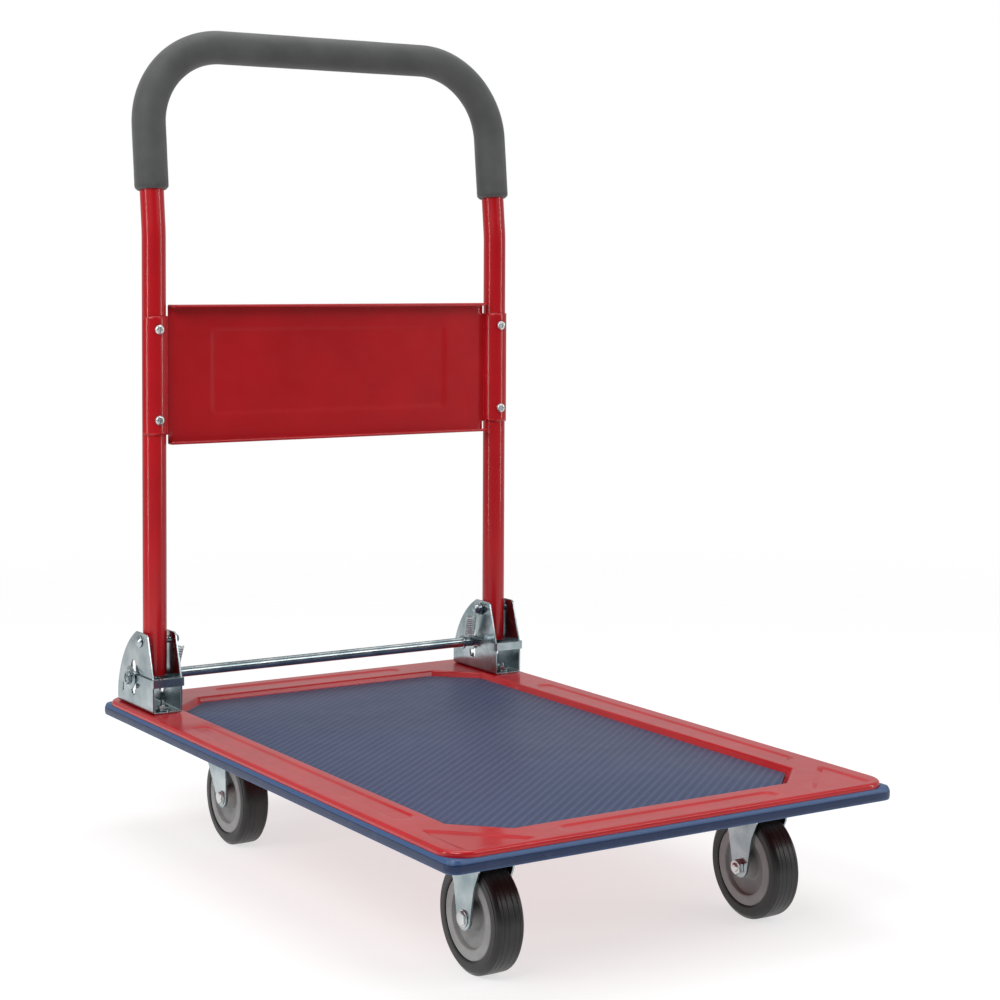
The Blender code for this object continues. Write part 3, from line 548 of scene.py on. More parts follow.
@dataclass(frozen=True)
class GripFoam:
    """Closed-cell foam sleeve, dull and finely pitted."""

    dark: str = "424443"
    pale: str = "515352"

    def build(self) -> bpy.types.Material:
        """Clouded grey over two sizes of pits."""
        recipe = Recipe("grip foam")
        cloud = recipe.between(recipe.noise(25.0, 8.0), 0.0, 1.0, 0.3, 0.7)
        recipe.feed("Base Color", recipe.mix(cloud, linear(self.dark), linear(self.pale)))
        recipe.feed("Roughness", recipe.between(recipe.noise(400.0, 2.0), 0.50, 0.70))
        pits = recipe.relief(recipe.cells(1100.0), 0.00035, 0.55)
        recipe.feed("Normal", recipe.relief(recipe.noise(3000.0, 2.0), 0.00012, 0.6, pits))
        recipe.set(Sheen_Weight=0.25, Sheen_Roughness=0.5, Specular_IOR_Level=0.35)
        return recipe.material


@dataclass(frozen=True)
class Zinc:
    """Bright zinc plate with a cool cast, a little uneven in shine."""

    title: str = "bright zinc"
    pale: str = "BCC5C8"
    cool: str = "87989D"
    shine: Pair = (0.13, 0.30)

    def build(self) -> bpy.types.Material:
        """Cool clouds in the colour, drawn lines and smudges in the shine."""
        recipe = Recipe(self.title)
        cloud = recipe.between(recipe.noise(32.0, 5.0), 0.0, 1.0, 0.32, 0.68)
        recipe.feed("Base Color", recipe.mix(cloud, linear(self.pale), linear(self.cool)))
        recipe.feed("Roughness", recipe.between(recipe.noise(110.0, 6.0), *self.shine, 0.3, 0.75))
        drawn = recipe.relief(recipe.noise(180.0, 4.0, recipe.stretched((6.0, 1.0, 6.0))), 0.00005, 0.35)
        recipe.feed("Normal", recipe.relief(recipe.noise(45.0, 2.0), 0.0004, 0.25, drawn))
        recipe.set(Metallic=1.0)
        return recipe.material


@dataclass(frozen=True)
class Rubber:
    """Black tyre rubber with a dusty bloom."""

    black: str = "121213"
    bloom: str = "232324"

    def build(self) -> bpy.types.Material:
        """Black with patches of bloom and a fine moulded tooth."""
        recipe = Recipe("tyre rubber")
        bloom = recipe.between(recipe.noise(55.0, 7.0), 0.0, 1.0, 0.45, 0.8)
        recipe.feed("Base Color", recipe.mix(bloom, linear(self.black), linear(self.bloom)))
        recipe.feed("Roughness", recipe.between(recipe.noise(140.0, 4.0), 0.30, 0.48))
        recipe.feed("Normal", recipe.relief(recipe.noise(1800.0, 3.0), 0.00007, 0.5))
        recipe.set(Specular_IOR_Level=0.5)
        return recipe.material


@dataclass(frozen=True)
class MouldedPlastic:
    """Grey moulded wheel plastic."""

    title: str
    colour: str
    marked: str
    matt: float = 0.42

    def build(self) -> bpy.types.Material:
        """Faint flow marks and a fine moulded grain."""
        recipe = Recipe(self.title)
        cloud = recipe.between(recipe.noise(70.0, 6.0), 0.0, 1.0, 0.4, 0.75)
        recipe.feed("Base Color", recipe.mix(cloud, linear(self.colour), linear(self.marked)))
        recipe.feed("Roughness", recipe.between(recipe.noise(200.0, 3.0), self.matt - 0.08, self.matt + 0.1))
        recipe.feed("Normal", recipe.relief(recipe.cells(2200.0), 0.00005, 0.5))
        recipe.set(Specular_IOR_Level=0.12)
        return recipe.material


class Finishes:
    """Every finish of the cart, made once."""

    def __init__(self) -> None:
        """Build the materials."""
        self.red = Enamel().build()
        # the underside enamel is the same red, painted darker as painted shade beneath the deck; only its rougher
        # coat is its own
        self.underside = Enamel("underside enamel with painted shade", "860C15", "980F19", 0.3, 0.5).build()
        self.mat = RibbedVinyl().build()
        self.bumper = BumperVinyl().build()
        self.foam = GripFoam().build()
        self.zinc = Zinc().build()
        self.screw = Zinc("screw zinc", "E2E4E4", "C4C9CA", (0.30, 0.44)).build()
        self.spring = Zinc("spring steel", "E0E4E6", "C0C8CB", (0.30, 0.45)).build()
        self.rubber = Rubber().build()
        # one wheel moulding in two greys: the rim lightened as painted light, the hub and dish darkened as painted
        # shade
        self.rim = MouldedPlastic("wheel rim plastic with painted light", "8E8F8F", "9A9B9B").build()
        self.dish = MouldedPlastic("wheel dish plastic with painted shade", "1C1E1D", "262827", 0.7).build()


# ---------------------------------------------------------------- platform
@dataclass
class Outline:
    """Points round the platform: four straight sides and four corners."""

    long_steps: int = 220
    short_steps: int = 150
    corner_steps: int = 24
    crowding: float = 0.6

    def shares(self, steps: int) -> Array:
        """Shares of a side, closer together near both of its ends."""
        even = np.linspace(0.0, 1.0, steps, endpoint=False)
        return even * (1.0 - self.crowding) + self.crowding * (0.5 - 0.5 * np.cos(math.pi * even))

    def trace(self, starts: Array, ends: Array, corners: Array) -> Array:
        """Run the corners and the straights between them.

        Args:
            starts: where each corner begins, 4 by 2.
            ends: where each corner ends, 4 by 2.
            corners: the corner's own points, 4 by corner_steps by 2.

        Returns:
            All points in order.
        """
        made = []
        for turn in range(4):
            steps = self.short_steps if turn % 2 == 0 else self.long_steps
            share = self.shares(steps)[:, None]
            made.append(corners[turn])
            made.append(ends[turn] * (1.0 - share) + starts[(turn + 1) % 4] * share)
        return np.concatenate(made)

    def round_ring(self, half_x: float, half_y: float, radius: float) -> Array:
        """Rounded rectangle about the origin, from the far right corner."""
        signs = np.array([(1, 1), (-1, 1), (-1, -1), (1, -1)], float)
        centre = signs * (np.array([half_x, half_y]) - radius)
        angle = np.linspace(0.0, 1.0, self.corner_steps, endpoint=False)
        angle = (np.arange(4)[:, None] + angle[None]) * math.pi / 2.0
        spoke = np.stack([np.cos(angle), np.sin(angle)], -1) * radius
        start = np.arange(4) * math.pi / 2.0
        starts = centre + radius * np.stack([np.cos(start), np.sin(start)], 1)
        ends = centre + radius * np.stack([-np.sin(start), np.cos(start)], 1)
        return self.trace(starts, ends, centre[:, None] + spoke)

    def cut_ring(self, half_x: float, front: float, rear: float, chamfer: float) -> Array:
        """Rectangle with straight cut corners, in the rounded ring's order."""
        starts = np.array([(half_x, rear - chamfer), (-half_x + chamfer, rear),
                           (-half_x, front + chamfer), (half_x - chamfer, front)])
        ends = np.array([(half_x - chamfer, rear), (-half_x, rear - chamfer),
                         (-half_x + chamfer, front), (half_x, front + chamfer)])
        share = np.linspace(0.0, 1.0, self.corner_steps, endpoint=False)[None, :, None]
        return self.trace(starts, ends, starts[:, None] * (1.0 - share) + ends[:, None] * share)


@dataclass
class Platform:
    """Pressed deck, its ribbed mat, the bumper and the channels underneath."""

    finishes: Finishes
    sheet: float = 0.0015
    roll: float = 0.003
    corner: float = 0.026
    chamfer: float = 0.042
    wall_slope: float = 0.0035
    mat_gap: float = 0.0008
    lip: float = 0.0012
    press_depth: float = 0.0013
    press_slope: float = 0.0030
    side_inset: float = 0.0262
    side_middle: float = -0.0360
    side_half: Pair = (0.0095, 0.2140)
    side_corner: float = 0.0090
    corner_inset: Pair = (0.0175, 0.0085)
    corner_leg: float = 0.070
    corner_blend: float = 0.0022
    end_insets: Pair = (0.0205, 0.0270)
    end_halves: Pair = (0.1150, 0.1160)
    end_half_width: float = 0.0090
    end_corner: float = 0.0085
    rib_pitch: float = 0.008
    rib_height: float = 0.00024
    rib_angle: float = math.radians(40.0)
    mat_edge: float = 0.0009
    bumper_corner: float = 0.012

    def __post_init__(self) -> None:
        """Read the sizes that the frame sets."""
        self.deck_low, self.deck_high = box_of("deck_pan")
        self.mat_low, self.mat_high = box_of("deck_mat")
        self.bumper_low, self.bumper_high = box_of("bumper_strip")
        self.outline = Outline()

    def pressing(self, x: Array, y: Array) -> Array:
        """Depth of the border's pressed shapes: a smooth step on signed distance.

        Each side has a long sunk channel with round ends, and each corner of the
        free end a sunk triangle with its long edge beside the mat's cut corner.
        """
        half_x, half_y = self.deck_high[0], self.deck_high[1]
        shapes = []
        for sign in SIDES.values():
            side = sign * (half_x - self.side_inset)
            shapes.append(box_distance(x, y, (side, self.side_middle), self.side_half, self.side_corner))
            right, front = half_x - self.corner_inset[0], -half_y + self.corner_inset[1]
            slant = right - front - self.corner_leg
            edges = [sign * x - right, front - y, (sign * x - y - slant) * -math.sqrt(0.5)]
            shapes.append(soft_max(edges, self.corner_blend))
        ends = (-half_y + self.end_insets[0], half_y - self.end_insets[1])
        for middle_y, half_length in zip(ends, self.end_halves):
            half = (half_length, self.end_half_width)
            shapes.append(box_distance(x, y, (0.0, middle_y), half, self.end_corner))
        nearest = np.minimum.reduce(shapes)
        return self.press_depth * smooth(0.5 - nearest / self.press_slope)

    def deck_rows(self, inset: float, drop: float, spread: float, border_rows: int) -> list[Array]:
        """Rows of one face of the sheet, from the skirt's lower edge to the recess.

        The border is the straight blend of its outer ring and the recess ring,
        lowered by the pressing.

        Args:
            inset: of the skirt from the outer face.
            drop: of the top from the outer face.
            spread: of the recess wall from its outer face.
            border_rows: rows across the border.

        Returns:
            Rows of points, each n by 3.
        """
        half_x, half_y = self.deck_high[0] - inset, self.deck_high[1] - inset
        top, bottom, radius = self.deck_high[2] - drop, self.deck_low[2], self.corner - inset
        grow = self.mat_gap + spread
        floor = self.mat_low[2] - GAP - drop

        def lifted(ring: Array, z: float | Array) -> Array:
            return np.concatenate([ring, np.broadcast_to(z, len(ring))[:, None]], 1)

        rows = [lifted(self.outline.round_ring(half_x, half_y, radius), z)
                for z in (bottom, top - self.roll * 1.3)]
        for angle in np.radians(np.linspace(0.0, 75.0, 6)):
            pull = self.roll * (1.0 - math.cos(angle))
            ring = self.outline.round_ring(half_x - pull, half_y - pull, radius - pull)
            rows.append(lifted(ring, top - self.roll * (1.0 - math.sin(angle))))
        outer = self.outline.round_ring(half_x - self.roll, half_y - self.roll, radius - self.roll)
        wall = self.wall_slope + self.lip
        inner = self.outline.cut_ring(self.mat_high[0] + grow + wall, self.mat_low[1] - grow - wall,
                                      self.mat_high[1] + grow + wall, self.chamfer)
        for share in np.linspace(0.0, 1.0, border_rows):
            ring = outer * (1.0 - share) + inner * share
            rows.append(lifted(ring, top - self.pressing(ring[:, 0], ring[:, 1])))
        for share in np.array([0.12, 0.3, 0.55, 0.8, 0.93, 1.0]):
            slope = wall * (1.0 - share)
            ring = self.outline.cut_ring(self.mat_high[0] + grow + slope, self.mat_low[1] - grow - slope,
                                         self.mat_high[1] + grow + slope, self.chamfer)
            rows.append(lifted(ring, top + (floor - top) * float(smooth(np.array(share)))))
        return rows

    def build_deck(self) -> None:
        """Tray skin: outer face, then the inner face back to the skirt's edge."""
        upper = self.deck_rows(0.0, 0.0, 0.0, 32)
        lower = self.deck_rows(self.sheet, self.sheet, self.sheet * 0.6, 14)
        for rows in (upper, lower):
            middle = np.zeros_like(rows[-1])
            middle[:, 2] = rows[-1][:, 2]
            rows.append(middle)
        skin = Skin()
        skin.add(np.stack(upper + lower[::-1]), rows_closed=True)
        piece = skin.make("deck", [self.finishes.red], 40.0)
        settle(piece, "chassis", Slot.RED, "deck_pan")

    def build_mat(self) -> None:
        """Mat of parallel ribs, clipped to its cut-corner outline.

        Each grid row is one line along the ribs, from where it enters the outline
        to where it leaves. Its height is h (0.5 + 0.5 cos 2 pi w / p) with a third
        of that again at half the pitch, w being the distance across the ribs.
        """
        low, high, cut = self.mat_low, self.mat_high, self.chamfer
        along = np.array([math.cos(self.rib_angle), math.sin(self.rib_angle)])
        across = np.array([along[1], -along[0]])
        normals = np.array([(1, 0), (-1, 0), (0, 1), (0, -1), (1, 1), (-1, 1), (1, -1), (-1, -1)], float)
        far = np.array([high[0], -low[0], high[1], -low[1], high[0] + high[1] - cut,
                        -low[0] + high[1] - cut, high[0] - low[1] - cut, -low[0] - low[1] - cut])
        corners = []
        for sign_x in (1.0, -1.0):
            for end in (low[1], high[1]):
                inward = math.copysign(cut, end)
                corners += [(sign_x * high[0], end - inward), (sign_x * (high[0] - cut), end)]
        spread = np.array(corners) @ across
        count = int((spread.max() - spread.min()) / (self.rib_pitch / 10.0))
        where = np.linspace(spread.min(), spread.max(), count)
        facing = normals @ along
        room = far[None] - np.outer(where, normals @ across)
        ahead = facing > 1e-9
        last = (room[:, ahead] / facing[ahead]).min(1)
        first = (room[:, facing < -1e-9] / facing[facing < -1e-9]).max(1)
        last = np.maximum(last, first)
        edge = np.minimum(self.mat_edge, (last - first) / 2.0)
        stops = np.stack([first, first, first + edge * 0.3, first + edge, last - edge,
                          last - edge * 0.3, last, last], 1)
        crest = 0.5 + 0.5 * np.cos(2.0 * math.pi * where / self.rib_pitch)
        fine = 0.5 + 0.5 * np.cos(4.0 * math.pi * where / self.rib_pitch)
        rib = (crest + fine / 3.0) / (4.0 / 3.0)
        tall = high[2] - self.rib_height * (1.0 - rib)
        sink = self.mat_edge * np.array([0.0, 3.0, 1.0, 0.0, 0.0, 1.0, 3.0, 0.0]) / 3.0
        grid = np.zeros((count, stops.shape[1], 3))
        grid[..., :2] = where[:, None, None] * across + stops[..., None] * along
        grid[..., 2] = tall[:, None] - sink
        grid[:, 0, 2] = grid[:, -1, 2] = low[2]
        # the rib value also sets the painted shade in the mat's grooves
        values = {"rib": np.repeat(rib[:, None], stops.shape[1], 1)}
        piece = Skin().add(grid).make("mat", [self.finishes.mat], 60.0, values)
        settle(piece, "chassis", Slot.MAT, "deck_mat")

    def build_bumper(self) -> None:
        """Wrapped extrusion: one profile of (inset, share of height) round the skirt."""
        profile = np.array([
            (0.0024, 0.0), (0.0013, 0.0), (0.0008, 0.02), (0.0005, 0.06), (0.0004, 0.11), (0.0006, 0.145),
            (0.0003, 0.165), (0.00008, 0.21), (0.0, 0.28), (0.0, 0.55), (0.00006, 0.65), (0.0002, 0.70),
            (0.00045, 0.725), (0.0004, 0.75), (0.00065, 0.79), (0.0010, 0.85), (0.00135, 0.92),
            (0.0017, 0.97), (0.0020, 1.0), (0.0024, 1.0)])
        half = self.bumper_high[:2]
        height = self.bumper_high[2] - self.bumper_low[2]
        thick = float(profile[:, 0].max())
        outline = Outline(24, 16, 14)
        rows = []
        for inset, share in profile:
            on_skirt = inset >= thick
            radius = self.corner + GAP if on_skirt else self.bumper_corner - inset
            ring = outline.round_ring(half[0] - inset, half[1] - inset, radius)
            z = np.full((len(ring), 1), self.bumper_low[2] + height * share)
            rows.append(np.concatenate([ring, z], 1))
        # the lip value is a painted highlight: 1 on the top lip, a weaker share on the foot, 0 on the band
        band_low, band_high, foot_highlight = 0.15, 0.71, 0.6
        share = profile[:, 1]
        lip = np.where(share > band_high, 1.0, np.where(share < band_low, foot_highlight, 0.0))
        values = {"lip": np.repeat(lip[:, None], len(rows[0]), 1)}
        piece = Skin().add(np.stack(rows), rows_closed=True).make(
            "bumper", [self.finishes.bumper], 50.0, values)
        settle(piece, "chassis", Slot.BUMPER, "bumper_strip")

    def build_channels(self) -> None:
        """Folded channels under the deck, open downwards."""
        for name in ("front_crossmember", "rear_crossmember", "centre_stiffener"):
            low, high = box_of(name)
            half = self.sheet / 2.0
            path = [(low[1] + half, low[2]), (low[1] + half, high[2] - half),
                    (high[1] - half, high[2] - half), (high[1] - half, low[2])]
            grid = extruded(folded(path, self.sheet, self.sheet), Axis.X, low[0], high[0])
            # the channels take the darker underside red, painted shade under the deck
            piece = Skin().add(grid, capped=True).make(f"{name}_channel", [self.finishes.underside])
            settle(soften(piece), "chassis", Slot.UNDERSIDE, name)

    def build(self) -> None:
        """Make every piece of the platform."""
        self.build_deck()
        self.build_mat()
        self.build_bumper()
        self.build_channels()


# ---------------------------------------------------------------- fasteners
def hex_radius(across: float, sides: int) -> Array:
    """Distance from a hexagon's middle to its edge: a/2 over the cosine of the
    angle to the nearest flat."""
    angle = np.linspace(0.0, 2.0 * math.pi, sides, endpoint=False)
    offset = np.mod(angle + math.pi / 6.0, math.pi / 3.0) - math.pi / 6.0
    return across / 2.0 / np.cos(offset)


@dataclass
class Fastener:
    """Shapes that bolts, nuts and washers are made of, along one axis.

    Distances run along the axis from the centre, times the sign.
    """

    centre: Sequence[float]
    axis: Axis
    sign: float = 1.0
    sides: int = 72

    def hexagon(self, skin: Skin, start: float, end: float, across: float, bore: float) -> Skin:
        """Hexagon with both faces chamfered: radius is the least of the hexagon's
        and a 30 degree cone's at each end. A bore of 0 closes it."""
        depth = (end - start)
        share = np.array([0.0, 0.0, 0.04, 0.10, 0.18, 0.3, 0.7, 0.82, 0.90, 0.96, 1.0, 1.0])
        along = start + depth * share
        near = np.minimum(np.abs(along - start), np.abs(end - along))
        cone = across * 0.49 + near * math.sqrt(3.0)
        radius = np.minimum(hex_radius(across, self.sides)[None], cone[:, None])
        radius[0] = radius[-1] = max(bore, 0.0)
        grid = spun(self.sign * along, radius, self.centre, self.axis, self.sides)
        return skin.add(grid, rows_closed=bore > 0.0)

    def turned(self, skin: Skin, profile: Sequence[Pair], rounding: float = 0.0,
               sides: int | None = None, closed: bool = False, coat: int = 0) -> Skin:
        """Profile of (along, radius), its corners rounded, spun about the axis."""
        line = rounded(profile, rounding, closed) if rounding else np.array(profile)
        grid = spun(self.sign * line[:, 0], line[:, 1], self.centre, self.axis, sides or self.sides)
        return skin.add(grid, rows_closed=closed, coat=coat)

    def thread(self, skin: Skin, start: float, end: float, radius: float, pitch: float = 0.00125) -> Skin:
        """Threaded shank: radius falls by 0.6 of a pitch each time the distance
        along, less the turn's share of a pitch, passes a whole number of pitches."""
        rows = max(8, int(abs(end - start) / pitch * 6.0))
        along = np.linspace(start, end, rows)
        turn = np.linspace(0.0, 1.0, 24, endpoint=False)
        saw = np.abs(np.mod(along[:, None] / pitch - turn[None], 1.0) - 0.5) * 2.0
        wide = radius - 0.45 * pitch * (1.0 - saw)
        tip = np.minimum(1.0, np.abs(end - along) / pitch * 0.6 + 0.55)
        wide = np.minimum(wide, radius * tip[:, None])
        wide[0] = wide[-1] = 0.0
        along = along.copy()
        along[0], along[-1] = along[1], along[-2]
        return skin.add(spun(self.sign * along, wide, self.centre, self.axis, 24))

    def crossed_head(self, skin: Skin, seat: float, height: float, radius: float) -> Skin:
        """Pan head with a cross recess.

        The dome's height at radius r is h (1 - (r/R)^5) ^ 0.5 and the recess
        takes away a cross-shaped pit whose depth falls off towards its ends.
        """
        share = np.concatenate([np.linspace(0.0, 0.85, 18), np.linspace(0.88, 1.0, 8)])
        angle = np.linspace(0.0, 2.0 * math.pi, 96, endpoint=False)
        reach = share[:, None] * radius
        dome = height * np.sqrt(np.maximum(0.0, 1.0 - share[:, None] ** 5)) + 0 * angle
        x, y = reach * np.cos(angle), reach * np.sin(angle)
        arm = np.minimum(np.abs(x), np.abs(y))
        width = 0.13 * radius
        pit = smooth((width - arm) / (0.06 * radius) + 0.5)
        pit = pit * smooth((0.60 * radius - reach) / (0.15 * radius))
        top = seat + dome - pit * height * 0.55
        grid = spun(self.sign * top, reach + 0 * angle, self.centre, self.axis, 96)
        base = spun(self.sign * np.array([seat, seat]), np.array([radius, 0.0]), self.centre, self.axis, 96)
        return skin.add(np.concatenate([grid, base]))


# ---------------------------------------------------------------- handle
@dataclass
class Handle:
    """Bent tube, foam grip, pressed panel and its four screws."""

    finishes: Finishes
    wall: float = 0.0015
    bend_z: float = 0.645
    bend_radius: float = 0.15
    lean: float = math.radians(6.2)
    corner: float = 0.088
    top_z: float = 0.846
    grip_start: float = 0.045
    tube_radius: float = 0.0127
    grip_radius: float = 0.0181
    grip_end: float = 0.0045
    grip_wave: float = 0.00012
    panel_sheet: float = 0.0012
    panel_y: float = 0.2860
    panel_lip: float = 0.0125
    panel_hem: float = 0.0025
    panel_bend: float = 0.0016
    panel_margin: float = 0.0035
    flange: Pair = (0.430, 0.556)
    flange_nose: float = 0.005
    emboss_half: Pair = (0.146, 0.0455)
    emboss_z: float = 0.4955
    emboss_corner: float = 0.006
    emboss_depth: float = 0.0007
    emboss_slope: float = 0.008

    def __post_init__(self) -> None:
        """Read where the legs stand."""
        low, high = box_of("handle_tube")
        self.leg_x = high[0] - self.tube_radius
        self.leg_y = low[1] + self.tube_radius
        self.foot_z = low[2]

    def leaning(self, x: Array, along: Array) -> Array:
        """Points on the leaning part: along the lean from the bend."""
        return np.stack([x, self.leg_y + along * math.sin(self.lean),
                         self.bend_z + along * math.cos(self.lean)], -1)

    def centre_line(self, leg: bool, step: float) -> Array:
        """Line from one end to the other: straight leg, a bend back of radius
        bend_radius, a straight, a quarter circle, and the same mirrored.

        Args:
            leg: from the feet when true, else from the grip's ends.
            step: spacing of the points on the straights.

        Returns:
            Points, n by 3.
        """
        rise = (self.top_z - self.bend_z) / math.cos(self.lean)
        parts = []
        start = self.grip_start
        if leg:
            tangent = self.bend_radius * math.tan(self.lean / 2.0)
            height = np.arange(self.foot_z, self.bend_z - tangent - 0.004, 0.02)
            upright = np.stack([np.full_like(height, self.leg_x),
                                np.full_like(height, self.leg_y), height], 1)
            angle = np.linspace(0.0, self.lean, 9)
            bend = np.stack([np.full_like(angle, self.leg_x),
                             self.leg_y + self.bend_radius * (1.0 - np.cos(angle)),
                             self.bend_z - tangent + self.bend_radius * np.sin(angle)], 1)
            parts += [upright, bend]
            start = tangent * 1.6
        straight = np.arange(start, rise - self.corner - step * 0.5, step)
        parts.append(self.leaning(np.full_like(straight, self.leg_x), straight))
        angle = np.linspace(0.0, math.pi / 2.0, max(20, int(self.corner * 1.57 / step)))
        parts.append(self.leaning(self.leg_x - self.corner + self.corner * np.cos(angle),
                                  rise - self.corner + self.corner * np.sin(angle)))
        flat = np.arange(self.leg_x - self.corner - step, 0.0, -step)
        parts.append(self.leaning(flat, np.full_like(flat, rise)))
        half = np.concatenate(parts)
        other = half[::-1] * np.array([-1.0, 1.0, 1.0])
        return np.concatenate([half, other])

    def back(self) -> Array:
        """Direction square to the leaning plane."""
        return np.array([0.0, math.cos(self.lean), -math.sin(self.lean)])

    def build_tube(self) -> None:
        """Bent tube with an open bore and broken edges at its feet."""
        line = self.centre_line(True, 0.012)
        radius = np.full(len(line), self.tube_radius)
        radius[[0, -1]] -= 0.0004
        outer = swept(line, radius, 48, self.back())
        bore = swept(line[::3] if len(line) % 3 == 1 else np.vstack([line[::3], line[-1:]]),
                     self.tube_radius - self.wall, 48, self.back())
        skin = Skin().add(np.concatenate([outer, bore[::-1]]), rows_closed=True)
        settle(skin.make("tube", [self.finishes.red]), "handle", Slot.RED, "handle_tube")

    def build_grip(self) -> None:
        """Foam sleeve: radius swells from a rounded end and waves very slightly."""
        line = self.centre_line(False, 0.0025)
        run = np.concatenate([[0.0], np.cumsum(np.linalg.norm(np.diff(line, axis=0), axis=1))])
        from_end = np.minimum(run, run[-1] - run)
        fall = np.clip(1.0 - from_end / self.grip_end, 0.0, 1.0)
        round_off = 1.0 - np.sqrt(np.maximum(0.0, 1.0 - fall ** 2))
        radius = self.grip_radius - self.grip_end * 0.62 * round_off
        radius -= self.grip_wave * (0.5 + 0.5 * np.sin(run * 95.0) * np.sin(run * 37.0 + 1.0))
        outer = swept(line, radius, 56, self.back())
        bore = swept(line[[0, *range(4, len(line) - 4, 8), len(line) - 1]],
                     self.tube_radius + GAP, 56, self.back())
        skin = Skin().add(np.concatenate([outer, bore[::-1]]), rows_closed=True)
        piece = skin.make("grip", [self.finishes.foam], 60.0)
        settle(piece, "handle", Slot.FOAM, "handle_grip")

    def build_panel(self) -> None:
        """Pressed panel: a web with hemmed lips, and flanges wrapped round the legs.

        The web is a grid of x by a path up its section. It is pushed back inside
        a rounded rectangle by a smooth step on signed distance. The flanges leave
        its ends and follow a circle just outside each leg, with round corners.
        """
        low, high = box_of("handle_panel")
        half = self.panel_sheet / 2.0
        web_y = self.panel_y - half
        front = self.panel_y - self.panel_lip + half
        bottom, top, hem, bend = low[2] + half, high[2] - half, self.panel_hem, self.panel_bend
        flange = self.flange
        join_x = self.leg_x - self.tube_radius - self.panel_margin
        lower = rounded([(front, bottom + hem), (front, bottom), (web_y, bottom), (web_y, flange[0])],
                        [0.0, bend * 0.5, bend, 0.0], closed=False)[:-1]
        rise = np.linspace(flange[0], flange[1], 49)
        web = np.stack([np.full_like(rise, web_y), rise], 1)
        upper = rounded([(web_y, flange[1]), (web_y, top), (front, top), (front, top - hem)],
                        [0.0, bend, bend * 0.5, 0.0], closed=False)[1:]
        section = np.concatenate([lower, web, upper])
        rim = self.emboss_half[0]
        plain = np.linspace(0.008 - rim, rim - 0.008, 40)
        edge = np.linspace(rim - 0.007, rim + 0.007, 12)
        end = np.linspace(rim + 0.010, join_x, 8)
        x = np.concatenate([-end[::-1], -edge[::-1], plain, edge, end])
        grid = np.zeros((len(section), len(x), 3))
        grid[..., 0], grid[..., 1], grid[..., 2] = x[None], section[:, :1], section[:, 1:]
        inside = box_distance(grid[..., 0], grid[..., 2], (0.0, self.emboss_z), self.emboss_half,
                              self.emboss_corner)
        on_web = (section[:, 0] > web_y - 1e-6)[:, None]
        grid[..., 1] += np.where(on_web, self.emboss_depth * smooth(0.5 - inside / self.emboss_slope), 0.0)
        skin = Skin().add(grid, columns_closed=False)
        wrap = self.tube_radius + GAP + half
        angle = np.radians(np.linspace(180.0, 352.0, 34))
        ring = np.stack([self.leg_x + wrap * np.cos(angle), self.leg_y + wrap * np.sin(angle)], 1)
        corner = rounded([(join_x, web_y), (self.leg_x - wrap, web_y), tuple(ring[1])], 0.002, closed=False)
        path = np.concatenate([corner[:-1], ring[1:]])
        run = np.concatenate([[0.0], np.cumsum(np.linalg.norm(np.diff(path, axis=0), axis=1))])
        nose = self.flange_nose
        past = np.clip(1.0 - (run[-1] - run) / nose, 0.0, 1.0)
        trim = nose * (1.0 - np.sqrt(1.0 - past ** 2))
        share = (rise - flange[0]) / (flange[1] - flange[0])
        for sign in SIDES.values():
            strip = np.zeros((len(rise), len(path), 3))
            strip[..., 0], strip[..., 1] = sign * path[:, 0], path[:, 1]
            strip[..., 2] = flange[0] + trim + share[:, None] * (flange[1] - flange[0] - 2.0 * trim)
            skin.add(strip, columns_closed=False)
        piece = skin.make("panel", [self.finishes.red], 50.0)
        wall = piece.modifiers.new("sheet", "SOLIDIFY")
        wall.thickness, wall.offset = self.panel_sheet, 0.0
        settle(piece, "handle", Slot.RED, "handle_panel")

    def build_screws(self) -> None:
        """Pan heads that hold the flanges to the legs."""
        for side in SIDES:
            for level in ("lower", "upper"):
                node = f"panel_screw_{side}_{level}"
                low, high = box_of(node)
                middle = centre_of(node)
                seat = low[1] + 0.0030
                holder = Fastener((middle[0], 0.0, middle[2]), Axis.Y)
                skin = Skin()
                Fastener((middle[0], seat, middle[2]), Axis.Y, -1.0).crossed_head(skin, 0.0, 0.0030, 0.0052)
                holder.thread(skin, seat - 0.001, high[1], 0.0024, 0.0008)
                settle(skin.make(f"screw_{side}_{level}", [self.finishes.screw]), "handle", Slot.ZINC, node)

    def build(self) -> None:
        """Make every piece of the handle."""
        self.build_tube()
        self.build_grip()
        self.build_panel()
        self.build_screws()


